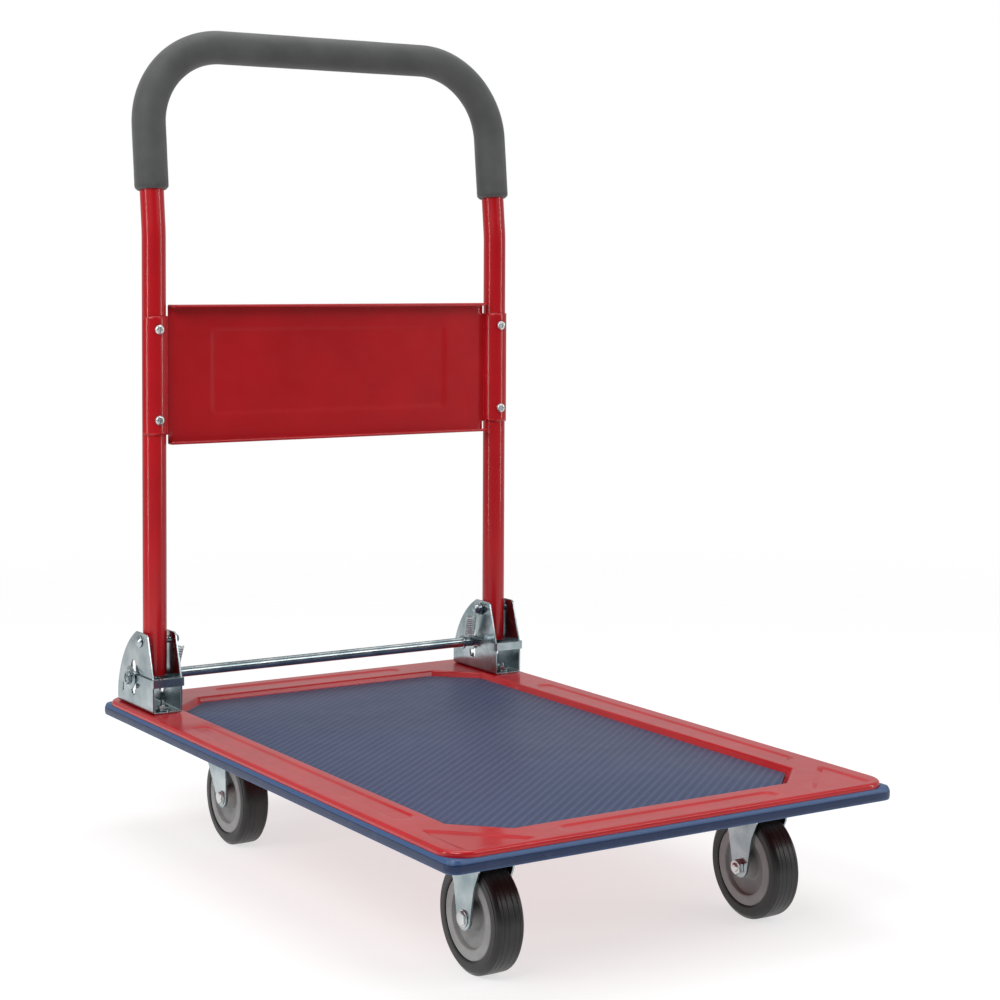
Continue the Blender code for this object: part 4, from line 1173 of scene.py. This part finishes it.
# ---------------------------------------------------------------- hinges
@dataclass
class HingeBracket:
    """One folded bracket with its pivot bolt and deck bolts."""

    finishes: Finishes
    side: str
    sheet: float = 0.002
    bend: float = 0.0016
    shoulder_z: float = 0.172
    nose_y: float = 0.2666
    back_centre: Pair = (0.2543, 0.1359)
    back_radius: float = 0.0931
    back_arc: Pair = (10.0, 64.0)
    rod: Pair = (0.303, 0.169)
    slot: Pair = (0.006, 0.01325)
    notch: Pair = (0.3314, 0.1545)
    notch_half: Pair = (0.0014, 0.004)

    def __post_init__(self) -> None:
        """Read the bracket's box and the pivot's place."""
        self.sign = SIDES[self.side]
        low, high = box_of(f"hinge_bracket_{self.side}")
        self.low, self.high = low, high
        self.pivot = centre_of(f"pivot_bolt_{self.side}")

    def build_bracket(self) -> None:
        """Folded channel cut to the side plates' outline, slotted and drilled."""
        low, high, half = self.low, self.high, self.sheet / 2.0
        path = [(high[2], low[0] + half), (low[2] + half, low[0] + half),
                (low[2] + half, high[0] - half), (high[2], high[0] - half)]
        section = folded(path, self.sheet, self.bend)
        skin = Skin().add(extruded(section, Axis.Y, low[1], high[1]), capped=True)
        piece = skin.make(f"bracket_{self.side}", [self.finishes.zinc])
        reach = 0.01
        angle = np.radians(np.linspace(*self.back_arc, 28))
        back = np.stack([self.back_centre[0] + self.back_radius * np.cos(angle),
                         self.back_centre[1] + self.back_radius * np.sin(angle)], 1)
        heel_z = back[0][1] - 0.004
        base = [(low[1] - reach, low[2] - reach), (high[1] + reach, low[2] - reach),
                (high[1] + reach, heel_z), (high[1], heel_z)]
        nose = rounded([(back[-1][0] + 0.001, high[2]), (self.nose_y, high[2]), (low[1], self.shoulder_z),
                        (low[1], low[2])], [0.0, 0.005, 0.004, 0.0], closed=False, steps=8)
        toe = [(low[1], self.shoulder_z - 0.02), (low[1] - reach, self.shoulder_z - 0.03)]
        outline = np.concatenate([base, back, nose[1:-1], toe])
        carved(piece, extruded(outline, Axis.X, low[0] - reach, high[0] + reach), "INTERSECT")
        slot = capsule((self.rod[0], self.rod[1] - 0.00025), *self.slot)
        carved(piece, extruded(slot, Axis.X, low[0] - reach, high[0] + reach))
        outer = high[0] if self.sign > 0.0 else low[0]
        small = capsule(self.notch, *self.notch_half, 8)
        carved(piece, extruded(small, Axis.X, outer - 0.005, outer + 0.005))
        settle(soften(piece, 0.00035), "chassis", Slot.ZINC, f"hinge_bracket_{self.side}")

    def build_pivot(self) -> None:
        """Domed pivot bolt, its nut, and the domed end that holds the spring."""
        middle = (0.0, self.pivot[1], self.pivot[2])
        low, high = box_of(f"pivot_bolt_{self.side}")
        outer = max(abs(low[0]), abs(high[0]))
        inner = min(abs(low[0]), abs(high[0]))
        plate = max(abs(self.low[0]), abs(self.high[0]))
        turned = Fastener(middle, Axis.X, self.sign)
        skin = Skin()
        head = [(outer, 0.0), (outer, 0.0032), (plate + 0.0014, 0.0063), (plate + GAP, 0.0066),
                (plate + GAP, 0.004), (inner + 0.0075, 0.004), (inner + 0.0075, 0.0055),
                (inner + 0.0038, 0.0055), (inner, 0.0036), (inner, 0.0)]
        turned.turned(skin, head, 0.0012)
        settle(skin.make(f"pivot_{self.side}", [self.finishes.zinc]), "chassis", Slot.ZINC,
               f"pivot_bolt_{self.side}")
        nut_low, nut_high = box_of(f"pivot_nut_{self.side}")
        ends = sorted((abs(nut_low[0]), abs(nut_high[0])))
        nut = turned.hexagon(Skin(), ends[0], ends[1], 0.0125, 0.0043)
        settle(nut.make(f"pivot_hex_{self.side}", [self.finishes.zinc]), "chassis", Slot.ZINC,
               f"pivot_nut_{self.side}")

    def build_deck_bolts(self) -> None:
        """Bolts up through the deck with hexagon nuts and washers."""
        for place in ("front", "rear"):
            bolt, nut = (f"bracket_{kind}_{self.side}_{place}" for kind in ("bolt", "nut"))
            low, high = box_of(bolt)
            middle = centre_of(bolt)
            nut_low, nut_high = box_of(nut)
            upright = Fastener((middle[0], middle[1], 0.0), Axis.Z)
            skin = upright.thread(Skin(), low[2] + 0.001, high[2], 0.003, 0.001)
            upright.turned(skin, [(low[2], 0.0), (low[2], 0.0054), (low[2] + 0.0035, 0.0062),
                                  (low[2] + 0.0035, 0.0)], 0.0008)
            settle(skin.make(f"deck_bolt_{self.side}_{place}", [self.finishes.zinc]), "chassis",
                   Slot.ZINC, bolt)
            washer = 0.0009
            skin = upright.hexagon(Skin(), nut_low[2] + washer, nut_high[2], 0.0100, 0.0031)
            upright.turned(skin, [(nut_low[2], 0.0031), (nut_low[2], 0.0078), (nut_low[2] + washer, 0.0078),
                                  (nut_low[2] + washer, 0.0031)], 0.0002, closed=True)
            settle(skin.make(f"deck_nut_{self.side}_{place}", [self.finishes.zinc]), "chassis",
                   Slot.ZINC, nut)

    def build(self) -> None:
        """Make every piece of this hinge."""
        self.build_bracket()
        self.build_pivot()
        self.build_deck_bolts()


# ---------------------------------------------------------------- foot release
@dataclass
class FootRelease:
    """Sliding rod, its two yokes, end nuts and springs."""

    finishes: Finishes
    yoke_sheet: float = 0.0018
    yoke_half_rise: Pair = (0.004, 0.005)
    ear_radius: float = 0.0095
    rod_radius: float = 0.0055
    collar: Pair = (0.1815, 0.1835)
    collar_radius: float = 0.0078
    spring_x: Pair = (0.1850, 0.1872)
    wire: float = 0.0009
    coil: float = 0.0053
    turns: int = 9

    def __post_init__(self) -> None:
        """Read the rod's place."""
        self.rod_high = box_of("release_rod")[1]
        self.rod = np.array([0.0, *(centre_of("release_rod")[1:])])

    def build_rod(self) -> None:
        """Plain bar with two collars, stepped down to threaded ends."""
        step = np.array(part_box("rod_end_nut_right")[0])[0] - GAP
        start, end = self.collar
        half = [(start, self.rod_radius), (start, self.collar_radius), (end, self.collar_radius),
                (end, self.rod_radius), (step, self.rod_radius), (step, 0.0038)]
        profile = [(-half[-1][0], 0.0)] + [(-a, r) for a, r in half[::-1]] + half + [(half[-1][0], 0.0)]
        turned = Fastener(self.rod, Axis.X)
        skin = turned.turned(Skin(), profile, 0.0003, sides=40)
        for sign in SIDES.values():
            Fastener(self.rod, Axis.X, sign).thread(skin, step - 0.002, self.rod_high[0], 0.004)
        settle(skin.make("rod", [self.finishes.zinc]), "release", Slot.ZINC, "release_rod")

    def build_yokes(self) -> None:
        """Flat strap bent round each bracket's front, with round eyes on the rod."""
        for side in SIDES:
            low, high = box_of(f"lock_yoke_{side}")
            half = self.yoke_sheet / 2.0
            strap = (self.rod[2] - self.yoke_half_rise[0], self.rod[2] + self.yoke_half_rise[1])
            path = [(low[0] + half, self.rod[1]), (low[0] + half, low[1] + half),
                    (high[0] - half, low[1] + half), (high[0] - half, self.rod[1])]
            section = folded(path, self.yoke_sheet, 0.0012)
            skin = Skin().add(extruded(section, Axis.Z, *strap), capped=True)
            piece = skin.make(f"yoke_{side}", [self.finishes.zinc])
            for start in (low[0], high[0] - self.yoke_sheet):
                eye = circle((self.rod[1], self.rod[2]), self.ear_radius)
                carved(piece, extruded(eye, Axis.X, start, start + self.yoke_sheet), "UNION")
            hole = circle((self.rod[1], self.rod[2]), self.rod_radius + GAP)
            carved(piece, extruded(hole, Axis.X, low[0] - 0.01, high[0] + 0.01))
            settle(soften(piece, 0.00025), "release", Slot.ZINC, f"lock_yoke_{side}")

    def build_end_nuts(self) -> None:
        """Broad dished washer with a hexagon nut on it."""
        for side, sign in SIDES.items():
            low, high = box_of(f"rod_end_nut_{side}")
            ends = sorted((abs(low[0]), abs(high[0])))
            turned = Fastener(self.rod, Axis.X, sign)
            washer = [(ends[0], 0.0043), (ends[0], 0.0125), (ends[0] + 0.0009, 0.0125),
                      (ends[0] + 0.0020, 0.0085), (ends[0] + 0.0020, 0.0043)]
            skin = turned.turned(Skin(), washer, 0.0003, closed=True)
            turned.hexagon(skin, ends[0] + 0.0020, ends[1], 0.0125, 0.0042)
            settle(skin.make(f"rod_nut_{side}", [self.finishes.zinc]), "release", Slot.ZINC,
                   f"rod_end_nut_{side}")

    def build_springs(self) -> None:
        """Close coil: a helix about the line from the pivot bolt's end to the rod,
        its wire swept round."""
        for side, sign in SIDES.items():
            low, high = box_of(f"latch_spring_{side}")
            pivot = centre_of(f"pivot_bolt_{side}")
            top = np.array([sign * self.spring_x[0], pivot[1] + 0.0028, high[2] - 0.0019])
            bottom = np.array([sign * self.spring_x[1], self.rod[1] - 0.0080, low[2] + 0.0022])
            along = (bottom - top) / np.linalg.norm(bottom - top)
            first = np.cross(along, [0.0, 1.0, 0.0])
            first /= np.linalg.norm(first)
            second = np.cross(along, first)
            share = np.linspace(0.0, 1.0, self.turns * 20 + 1)
            angle = 2.0 * math.pi * self.turns * share
            line = top + (bottom - top) * share[:, None]
            line = line + self.coil * (np.cos(angle)[:, None] * first + np.sin(angle)[:, None] * second)
            grid = swept(line, self.wire, 10, along)
            piece = Skin().add(grid, capped=True).make(f"spring_{side}", [self.finishes.spring])
            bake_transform(piece)
            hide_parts(f"latch_spring_{side}")
            log.info("%s between chassis and release", piece.name)

    def build(self) -> None:
        """Make every piece of the foot release."""
        self.build_rod()
        self.build_yokes()
        self.build_end_nuts()
        self.build_springs()


# ---------------------------------------------------------------- casters
@dataclass
class Wheel:
    """Rubber tyre on a dished plastic centre."""

    finishes: Finishes
    place: str
    body: str
    sides: int = 128
    core_radius: float = 0.0375
    dish_radius: float = 0.0268
    line_depth: float = 0.00035
    line_width: float = 0.00022
    lines: tuple[float, ...] = (-0.0078, -0.0030, 0.0030, 0.0078)

    def __post_init__(self) -> None:
        """Read the wheel's middle and size."""
        low, high = box_of(f"tyre_{self.place}")
        self.middle = (low + high) / 2.0
        self.radius = float(high[2] - low[2]) / 2.0
        self.half = float(high[0] - low[0]) / 2.0
        self.turned = Fastener(self.middle, Axis.X, 1.0, self.sides)

    def build_tyre(self) -> None:
        """Section from bead to bead: sidewall with a raised line, round shoulder,
        and a tread whose radius falls off towards its edges and dips by a narrow bell
        at each moulded line."""
        half, radius = self.half, self.radius
        wall = rounded([(half - 0.0006, self.core_radius), (half, 0.0390), (half, 0.0448), (half - 0.0006, 0.0452),
                        (half - 0.0006, 0.0462), (half - 0.0034, radius - 0.0003)],
                       [0.0, 0.0005, 0.0002, 0.0002, 0.0024, 0.0], closed=False, steps=3)
        across = np.linspace(half - 0.0040, -half + 0.0040, 101)
        dip = sum(self.line_depth * np.exp(-((across - line) / self.line_width) ** 2)
                  for line in self.lines)
        crown = 0.0003 * (across / half) ** 2 + 0.0004 * (across / half) ** 6
        tread = np.stack([across, radius - dip - crown], 1)
        line = np.concatenate([wall, tread, wall[::-1] * np.array([-1.0, 1.0])])
        grid = spun(line[:, 0], line[:, 1], self.middle, Axis.X, self.sides)
        skin = Skin().add(grid, rows_closed=True)
        settle(skin.make(f"{self.place}_tyre", [self.finishes.rubber], 50.0), self.body, Slot.RUBBER,
               f"tyre_{self.place}")

    def build_core(self) -> None:
        """Hub, coned web and rim in one moulding; the rim is painted paler as painted light, the hub and dish
        darker as painted shade.
        """
        hub = [(0.0155, 0.0043), (0.0155, 0.0098), (0.0145, 0.0108), (0.0062, 0.0128), (0.0056, 0.0150),
               (0.0088, 0.0252), (0.0092, self.dish_radius)]
        rim = [(0.0092, self.dish_radius), (0.0134, 0.0276), (0.0137, 0.0290), (0.0137, 0.0360),
               (0.0131, 0.0371)]
        skin = Skin()
        for sign in (1.0, -1.0):
            # coat 1 paints the hub and web dark as painted shade; coat 0 paints the rim pale as painted light
            for coat, part in ((1, hub), (0, rim)):
                line = rounded(part, 0.0006, closed=False, steps=3)
                grid = spun(sign * line[:, 0], line[:, 1], self.middle, Axis.X, self.sides)
                skin.add(grid, coat=coat)
        for radius, reach, coat in ((0.0043, 0.0155, 1), (0.0371, 0.0131, 0)):
            ring = np.array([-reach, reach])
            skin.add(spun(ring, np.full(2, radius), self.middle, Axis.X, self.sides), coat=coat)
        settle(skin.make(f"{self.place}_core", [self.finishes.rim, self.finishes.dish], 40.0), self.body,
               Slot.CORE, f"wheel_core_{self.place}")

    def build(self) -> None:
        """Make the tyre and the centre."""
        self.build_tyre()
        self.build_core()


@dataclass
class Caster:
    """What the fixed and swivel casters share."""

    finishes: Finishes
    side: str
    cheek_inner: float = 0.0165
    sheet: float = 0.002
    end_radius: float = 0.0105
    plate_thick: float = 0.0025
    plate_corner: float = 0.006
    plate_washer: float = 0.0085
    plate_bolt: float = 0.0100
    axle_radius: float = 0.0040
    axle_hole: float = 0.0043
    head_across: float = 0.0118
    nut_across: float = 0.0125

    def __post_init__(self) -> None:
        """Side of the cart that the caster stands on."""
        self.sign = SIDES[self.side]

    def plate(self, low: Array, high: Array, bolts: Pair) -> Skin:
        """Rounded top plate with four bolt heads under it.

        Args:
            low: lowest corner of the plate.
            high: highest corner.
            bolts: distance of the bolts from the middle along X and Y.

        Returns:
            The skin to add to.
        """
        outline = rounded([(low[0], low[1]), (high[0], low[1]), (high[0], high[1]), (low[0], high[1])],
                          self.plate_corner, steps=6)
        skin = Skin().add(extruded(outline, Axis.Z, low[2], high[2]), capped=True)
        middle = (low + high) / 2.0
        for step_x in (-bolts[0], bolts[0]):
            for step_y in (-bolts[1], bolts[1]):
                spot = Fastener((middle[0] + step_x, middle[1] + step_y, low[2]), Axis.Z, -1.0, 36)
                washer = [(-0.0005, 0.0), (-0.0005, self.plate_washer),
                          (0.0010, self.plate_washer), (0.0010, 0.0)]
                spot.turned(skin, washer, 0.0003)
                spot.hexagon(skin, 0.0005, 0.0058, self.plate_bolt, 0.0)
        return skin

    def axle(self, place: str, body: str) -> None:
        """Axle bolt with a hexagon head and a nut on its threaded end."""
        bolt, nut = f"axle_bolt_{place}", f"axle_nut_{place}"
        middle = centre_of(f"tyre_{place}")
        low, high = box_of(bolt)
        nut_low, nut_high = box_of(nut)
        head = (high[0] - middle[0]) if self.sign > 0.0 else (middle[0] - low[0])
        tail = (low[0] - middle[0]) if self.sign > 0.0 else (middle[0] - high[0])
        turned = Fastener(middle, Axis.X, self.sign, 48)
        seat = self.cheek_inner + self.sheet + GAP
        inside, flange, shank = seat - self.sheet, self.head_across * 0.5 + 0.0015, self.axle_radius - 0.0001
        collar = [(inside, 0.0), (inside, self.axle_radius), (seat, self.axle_radius), (seat, flange),
                  (seat + 0.0006, flange), (seat + 0.0006, 0.0)]
        skin = turned.turned(Skin(), collar, 0.0002)
        turned.hexagon(skin, seat + 0.0005, head, self.head_across, 0.0)
        turned.turned(skin, [(-seat + 0.001, 0.0), (-seat + 0.001, shank), (seat, shank), (seat, 0.0)], 0.0)
        turned.thread(skin, -seat + 0.002, tail, self.axle_radius)
        settle(skin.make(f"{place}_axle", [self.finishes.screw]), body, Slot.ZINC, bolt)
        ends = sorted((abs(nut_low[0] - middle[0]), abs(nut_high[0] - middle[0])))
        hexagon = Fastener(middle, Axis.X, -self.sign).hexagon(
            Skin(), ends[0], ends[1], self.nut_across, self.axle_hole)
        settle(hexagon.make(f"{place}_axle_hex", [self.finishes.screw]), body, Slot.ZINC, nut)

    def cheeks(self, outline: Array, middle_x: float, top: float) -> bpy.types.Object:
        """Folded fork: a bridge and two cheeks, cut to the side outline.

        Args:
            outline: of the cheek, in Y and Z.
            middle_x: of the wheel.
            top: height of the bridge's upper face.

        Returns:
            The fork, drilled later.
        """
        half = self.sheet / 2.0
        reach = self.cheek_inner + half
        bottom = float(outline[:, 1].min()) - 0.005
        path = [(bottom, middle_x - reach), (top - half, middle_x - reach),
                (top - half, middle_x + reach), (bottom, middle_x + reach)]
        ends = (float(outline[:, 0].min()) - 0.004, float(outline[:, 0].max()) + 0.004)
        skin = Skin().add(extruded(folded(path, self.sheet, 0.002), Axis.Y, *ends), capped=True)
        piece = skin.make(f"fork_{self.side}", [self.finishes.zinc])
        return carved(piece, extruded(outline, Axis.X, middle_x - 0.03, middle_x + 0.03), "INTERSECT")


@dataclass
class FixedCaster(Caster):
    """Caster that only rolls, at the free end."""

    def build(self) -> None:
        """Plate, fork, wheel and axle."""
        node = f"fixed_fork_{self.side}"
        place = f"front_{self.side}"
        low, high = box_of(node)
        axle = centre_of(f"tyre_{place}")
        plate_low = np.array([low[0], low[1], high[2] - self.plate_thick])
        top = plate_low[2] + 0.0004
        y, z = axle[1], axle[2]
        angle = np.radians(np.linspace(197.0, 343.0, 20))
        end = np.stack([y + self.end_radius * np.cos(angle), z + self.end_radius * np.sin(angle)], 1)
        sides = rounded([tuple(end[-1]), (y + 0.0165, 0.079), (y + 0.0245, 0.0945), (y + 0.0245, top + 0.01)],
                        [0.0, 0.03, 0.012, 0.0], closed=False, steps=8)[1:]
        mirrored = (sides * np.array([-1.0, 1.0]) + np.array([2.0 * y, 0.0]))[::-1]
        fork = self.cheeks(np.concatenate([end, sides, mirrored]), axle[0], top)
        carved(fork, extruded(circle((y, z), self.axle_hole), Axis.X, axle[0] - 0.03, axle[0] + 0.03))
        soften(fork)
        fork.name = f"fixed_fork_sheet_{self.side}"
        settle(fork, "chassis", Slot.ZINC, node)
        plate = self.plate(plate_low, high, (0.0320, 0.0245)).make(
            f"fixed_plate_{self.side}", [self.finishes.zinc])
        settle(soften(plate), "chassis", Slot.ZINC, node)
        self.axle(place, "chassis")
        Wheel(self.finishes, place, f"front_wheel_{self.side}").build()


@dataclass
class SwivelCaster(Caster):
    """Caster that turns about an upright pin, at the handle end."""

    def build(self) -> None:
        """Plate, race, pin, fork, wheel and axle."""
        place = f"rear_{self.side}"
        body = f"rear_swivel_{self.side}"
        axle = centre_of(f"tyre_{place}")
        plate_low, plate_high = box_of(f"swivel_plate_{self.side}")
        plate = self.plate(plate_low, plate_high, (0.0320, 0.0375)).make(
            f"swivel_top_{self.side}", [self.finishes.zinc])
        settle(soften(plate), "chassis", Slot.ZINC, f"swivel_plate_{self.side}")
        pivot = (plate_low + plate_high) / 2.0
        race_low, race_high = box_of(f"swivel_race_{self.side}")
        upright = Fastener((pivot[0], pivot[1], 0.0), Axis.Z, 1.0, 64)
        race = [(race_low[2], 0.0098), (race_low[2], 0.0190), (race_low[2] + 0.0006, 0.0205),
                (race_low[2] + 0.0024, 0.0212), (race_low[2] + 0.0030, 0.0236), (race_high[2], 0.0240),
                (race_high[2], 0.0098)]
        settle(upright.turned(Skin(), race, 0.0006, closed=True).make(
            f"race_{self.side}", [self.finishes.zinc]), "chassis", Slot.ZINC, f"swivel_race_{self.side}")
        pin_low, pin_high = box_of(f"kingpin_{self.side}")
        pin = [(pin_low[2], 0.0), (pin_low[2] + 0.0004, 0.0048), (pin_low[2] + 0.0026, 0.0080),
               (pin_low[2] + 0.0045, 0.0085), (pin_low[2] + 0.0045, 0.0050), (pin_high[2], 0.0050),
               (pin_high[2], 0.0)]
        settle(upright.turned(Skin(), pin, 0.0006).make(f"pin_{self.side}", [self.finishes.zinc]),
               "chassis", Slot.ZINC, f"kingpin_{self.side}")
        self.build_fork(axle, pivot, body)
        self.axle(place, body)
        Wheel(self.finishes, place, f"rear_wheel_{self.side}").build()

    def build_fork(self, axle: Array, pivot: Array, body: str) -> None:
        """Raked fork under a round dished crown."""
        node = f"swivel_fork_{self.side}"
        y, z, top = axle[1], axle[2], box_of(node)[1][2]
        angle = np.radians(np.linspace(182.0, 328.0, 20))
        end = np.stack([y + self.end_radius * np.cos(angle), z + self.end_radius * np.sin(angle)], 1)
        rear = rounded([tuple(end[-1]), (pivot[1] + 0.0120, 0.0985), (pivot[1] + 0.0170, top + 0.01)],
                       [0.0, 0.012, 0.0], closed=False, steps=8)[1:]
        front = rounded([(y - 0.0030, top + 0.01), (y - 0.0072, 0.1000), (y - self.end_radius, z + 0.020),
                         tuple(end[0])], [0.0, 0.006, 0.03, 0.0], closed=False, steps=8)[:-1]
        fork = self.cheeks(np.concatenate([end, rear, front]), axle[0], top - 0.0002)
        carved(fork, extruded(circle((y, z), self.axle_hole), Axis.X, axle[0] - 0.03, axle[0] + 0.03))
        carved(fork, extruded(circle((pivot[0], pivot[1]), 0.0053), Axis.Z, top - 0.02, top + 0.02))
        soften(fork)
        fork.name = f"swivel_fork_sheet_{self.side}"
        settle(fork, body, Slot.ZINC, node)
        crown = [(top, 0.0053), (top, 0.0238), (top - 0.0007, 0.0256), (top - 0.0040, 0.0260),
                 (top - 0.0040, 0.0240), (top - 0.0025, 0.0232), (top - 0.0025, 0.0053)]
        turned = Fastener((pivot[0], pivot[1], 0.0), Axis.Z, 1.0, 64)
        piece = turned.turned(Skin(), crown, 0.0005, closed=True).make(
            f"crown_{self.side}", [self.finishes.zinc])
        settle(piece, body, Slot.ZINC, node)


# ---------------------------------------------------------------- studio
@dataclass
class Studio:
    """Pale floor, soft light and the camera."""

    lens: float = 76.157
    sensor: float = 36.0
    stand: Triple = (-1.1082, -1.8049, 0.6062)
    yaw: float = math.radians(-32.476)
    pitch: float = math.radians(2.517)
    roll: float = math.radians(0.242)
    shift_y: float = -0.1369
    pale: float = 1.0
    floor_reach: float = 2.6
    floor_colour: float = 0.38
    floor_glow: float = 0.66
    room_dim: float = 0.10
    room_bright: float = 0.60
    bright_side: Triple = (0.42, 0.66, 0.62)

    def build_camera(self) -> None:
        """Camera whose axes are the right, up and forward turned by the roll."""
        forward = Vector((-math.sin(self.yaw) * math.cos(self.pitch),
                          math.cos(self.yaw) * math.cos(self.pitch), -math.sin(self.pitch)))
        right = Vector((math.cos(self.yaw), math.sin(self.yaw), 0.0))
        up = right.cross(forward)
        side = right * math.cos(self.roll) + up * math.sin(self.roll)
        above = up * math.cos(self.roll) - right * math.sin(self.roll)
        data = bpy.data.cameras.new("camera")
        data.lens, data.sensor_width, data.shift_y = self.lens, self.sensor, self.shift_y
        camera = bpy.data.objects.new("camera", data)
        axes = Matrix((side, above, -forward)).transposed().to_4x4()
        camera.matrix_world = Matrix.Translation(self.stand) @ axes
        bpy.context.scene.collection.objects.link(camera)
        bpy.context.scene.camera = camera

    def build_floor(self) -> None:
        """Round floor that takes shadows near the cart and fades out into the backdrop."""
        radius = np.array([0.0, 0.5, 1.0, 2.0, self.floor_reach])
        grid = spun(np.zeros(len(radius)), radius, (0.0, 0.0, 0.0), Axis.Z, 96)
        recipe = Recipe("studio floor")
        recipe.set(Base_Color=(self.floor_colour,) * 3 + (1.0,), Roughness=0.9, Specular_IOR_Level=0.0,
                   Emission_Color=(1.0, 1.0, 1.0, 1.0), Emission_Strength=self.floor_glow)
        tree = recipe.tree
        clear = tree.nodes.new("ShaderNodeBsdfTransparent")
        length = tree.nodes.new("ShaderNodeVectorMath")
        length.operation = "LENGTH"
        tree.links.new(recipe.place, length.inputs[0])
        blend = tree.nodes.new("ShaderNodeMixShader")
        fade = recipe.between(length.outputs["Value"], 0.0, 1.0, 0.9, self.floor_reach - 0.1)
        tree.links.new(fade, blend.inputs[0])
        tree.links.new(recipe.shader.outputs[0], blend.inputs[1])
        tree.links.new(clear.outputs[0], blend.inputs[2])
        tree.links.new(blend.outputs[0], tree.nodes["Material Output"].inputs["Surface"])
        floor = Skin().add(grid).make("floor", [recipe.material])

    def build_world(self) -> None:
        """Pale backdrop to the eye; to the cart, a dim room that brightens towards
        the far side and overhead, by a smooth ramp on the direction looked in."""
        world = bpy.data.worlds.new("surroundings")
        world.use_nodes = True
        tree = world.node_tree
        output = tree.nodes["World Output"]
        shown = tree.nodes["Background"]
        shown.inputs["Color"].default_value = (self.pale, self.pale, self.pale, 1.0)
        room = tree.nodes.new("ShaderNodeBackground")
        place = tree.nodes.new("ShaderNodeTexCoord")
        toward = tree.nodes.new("ShaderNodeVectorMath")
        toward.operation = "DOT_PRODUCT"
        toward.inputs[1].default_value = self.bright_side
        tree.links.new(place.outputs["Generated"], toward.inputs[0])
        ramp = tree.nodes.new("ShaderNodeMapRange")
        ramp.interpolation_type = "SMOOTHSTEP"
        for title, number in (("From Min", -0.35), ("From Max", 0.55), ("To Min", self.room_dim),
                              ("To Max", self.room_bright)):
            ramp.inputs[title].default_value = number
        tree.links.new(toward.outputs["Value"], ramp.inputs["Value"])
        tree.links.new(ramp.outputs["Result"], room.inputs["Strength"])
        ray = tree.nodes.new("ShaderNodeLightPath")
        choose = tree.nodes.new("ShaderNodeMixShader")
        tree.links.new(ray.outputs["Is Camera Ray"], choose.inputs[0])
        tree.links.new(room.outputs[0], choose.inputs[1])
        tree.links.new(shown.outputs[0], choose.inputs[2])
        tree.links.new(choose.outputs[0], output.inputs["Surface"])
        bpy.context.scene.world = world

    def build_lamps(self) -> None:
        """A broad key light from the left, a soft fill, two upright strips and a soft overhead."""
        lamps = {
            "key": ((-2.4, -1.5, 2.6), (1.8, 1.4), 62.0),
            "fill": ((1.8, -3.0, 2.4), (1.8, 1.4), 26.0),
            "left_strip": ((-2.4, 0.15, 0.9), (0.22, 1.9), 14.0),
            "right_strip": ((2.5, -1.9, 0.9), (0.22, 1.9), 16.0),
            "overhead": ((0.2, 0.5, 3.2), (2.2, 2.2), 40.0),
        }
        for name, (spot, size, power) in lamps.items():
            data = bpy.data.lights.new(name, "AREA")
            data.shape, data.size, data.size_y, data.energy = "RECTANGLE", size[0], size[1], power
            lamp = bpy.data.objects.new(name, data)
            lamp.location = spot
            aim = Vector((0.0, 0.0, 0.35)) - Vector(spot)
            lamp.rotation_euler = aim.to_track_quat("-Z", "Y").to_euler()
            lamp.visible_camera = False
            bpy.context.scene.collection.objects.link(lamp)

    def build(self) -> None:
        """Set the stage."""
        self.build_camera()
        self.build_floor()
        self.build_world()
        self.build_lamps()
        bpy.context.scene.view_settings.view_transform = "Standard"


def main() -> None:
    """Build the cart, assembly by assembly, and the stage round it."""
    logging.basicConfig(level=logging.INFO, format="%(name)s: %(message)s")
    Studio().build()
    finishes = Finishes()
    Platform(finishes).build()
    Handle(finishes).build()
    for side in SIDES:
        HingeBracket(finishes, side).build()
    FootRelease(finishes).build()
    for side in SIDES:
        FixedCaster(finishes, side).build()
        SwivelCaster(finishes, side).build()


if __name__ == "__main__":
    main()
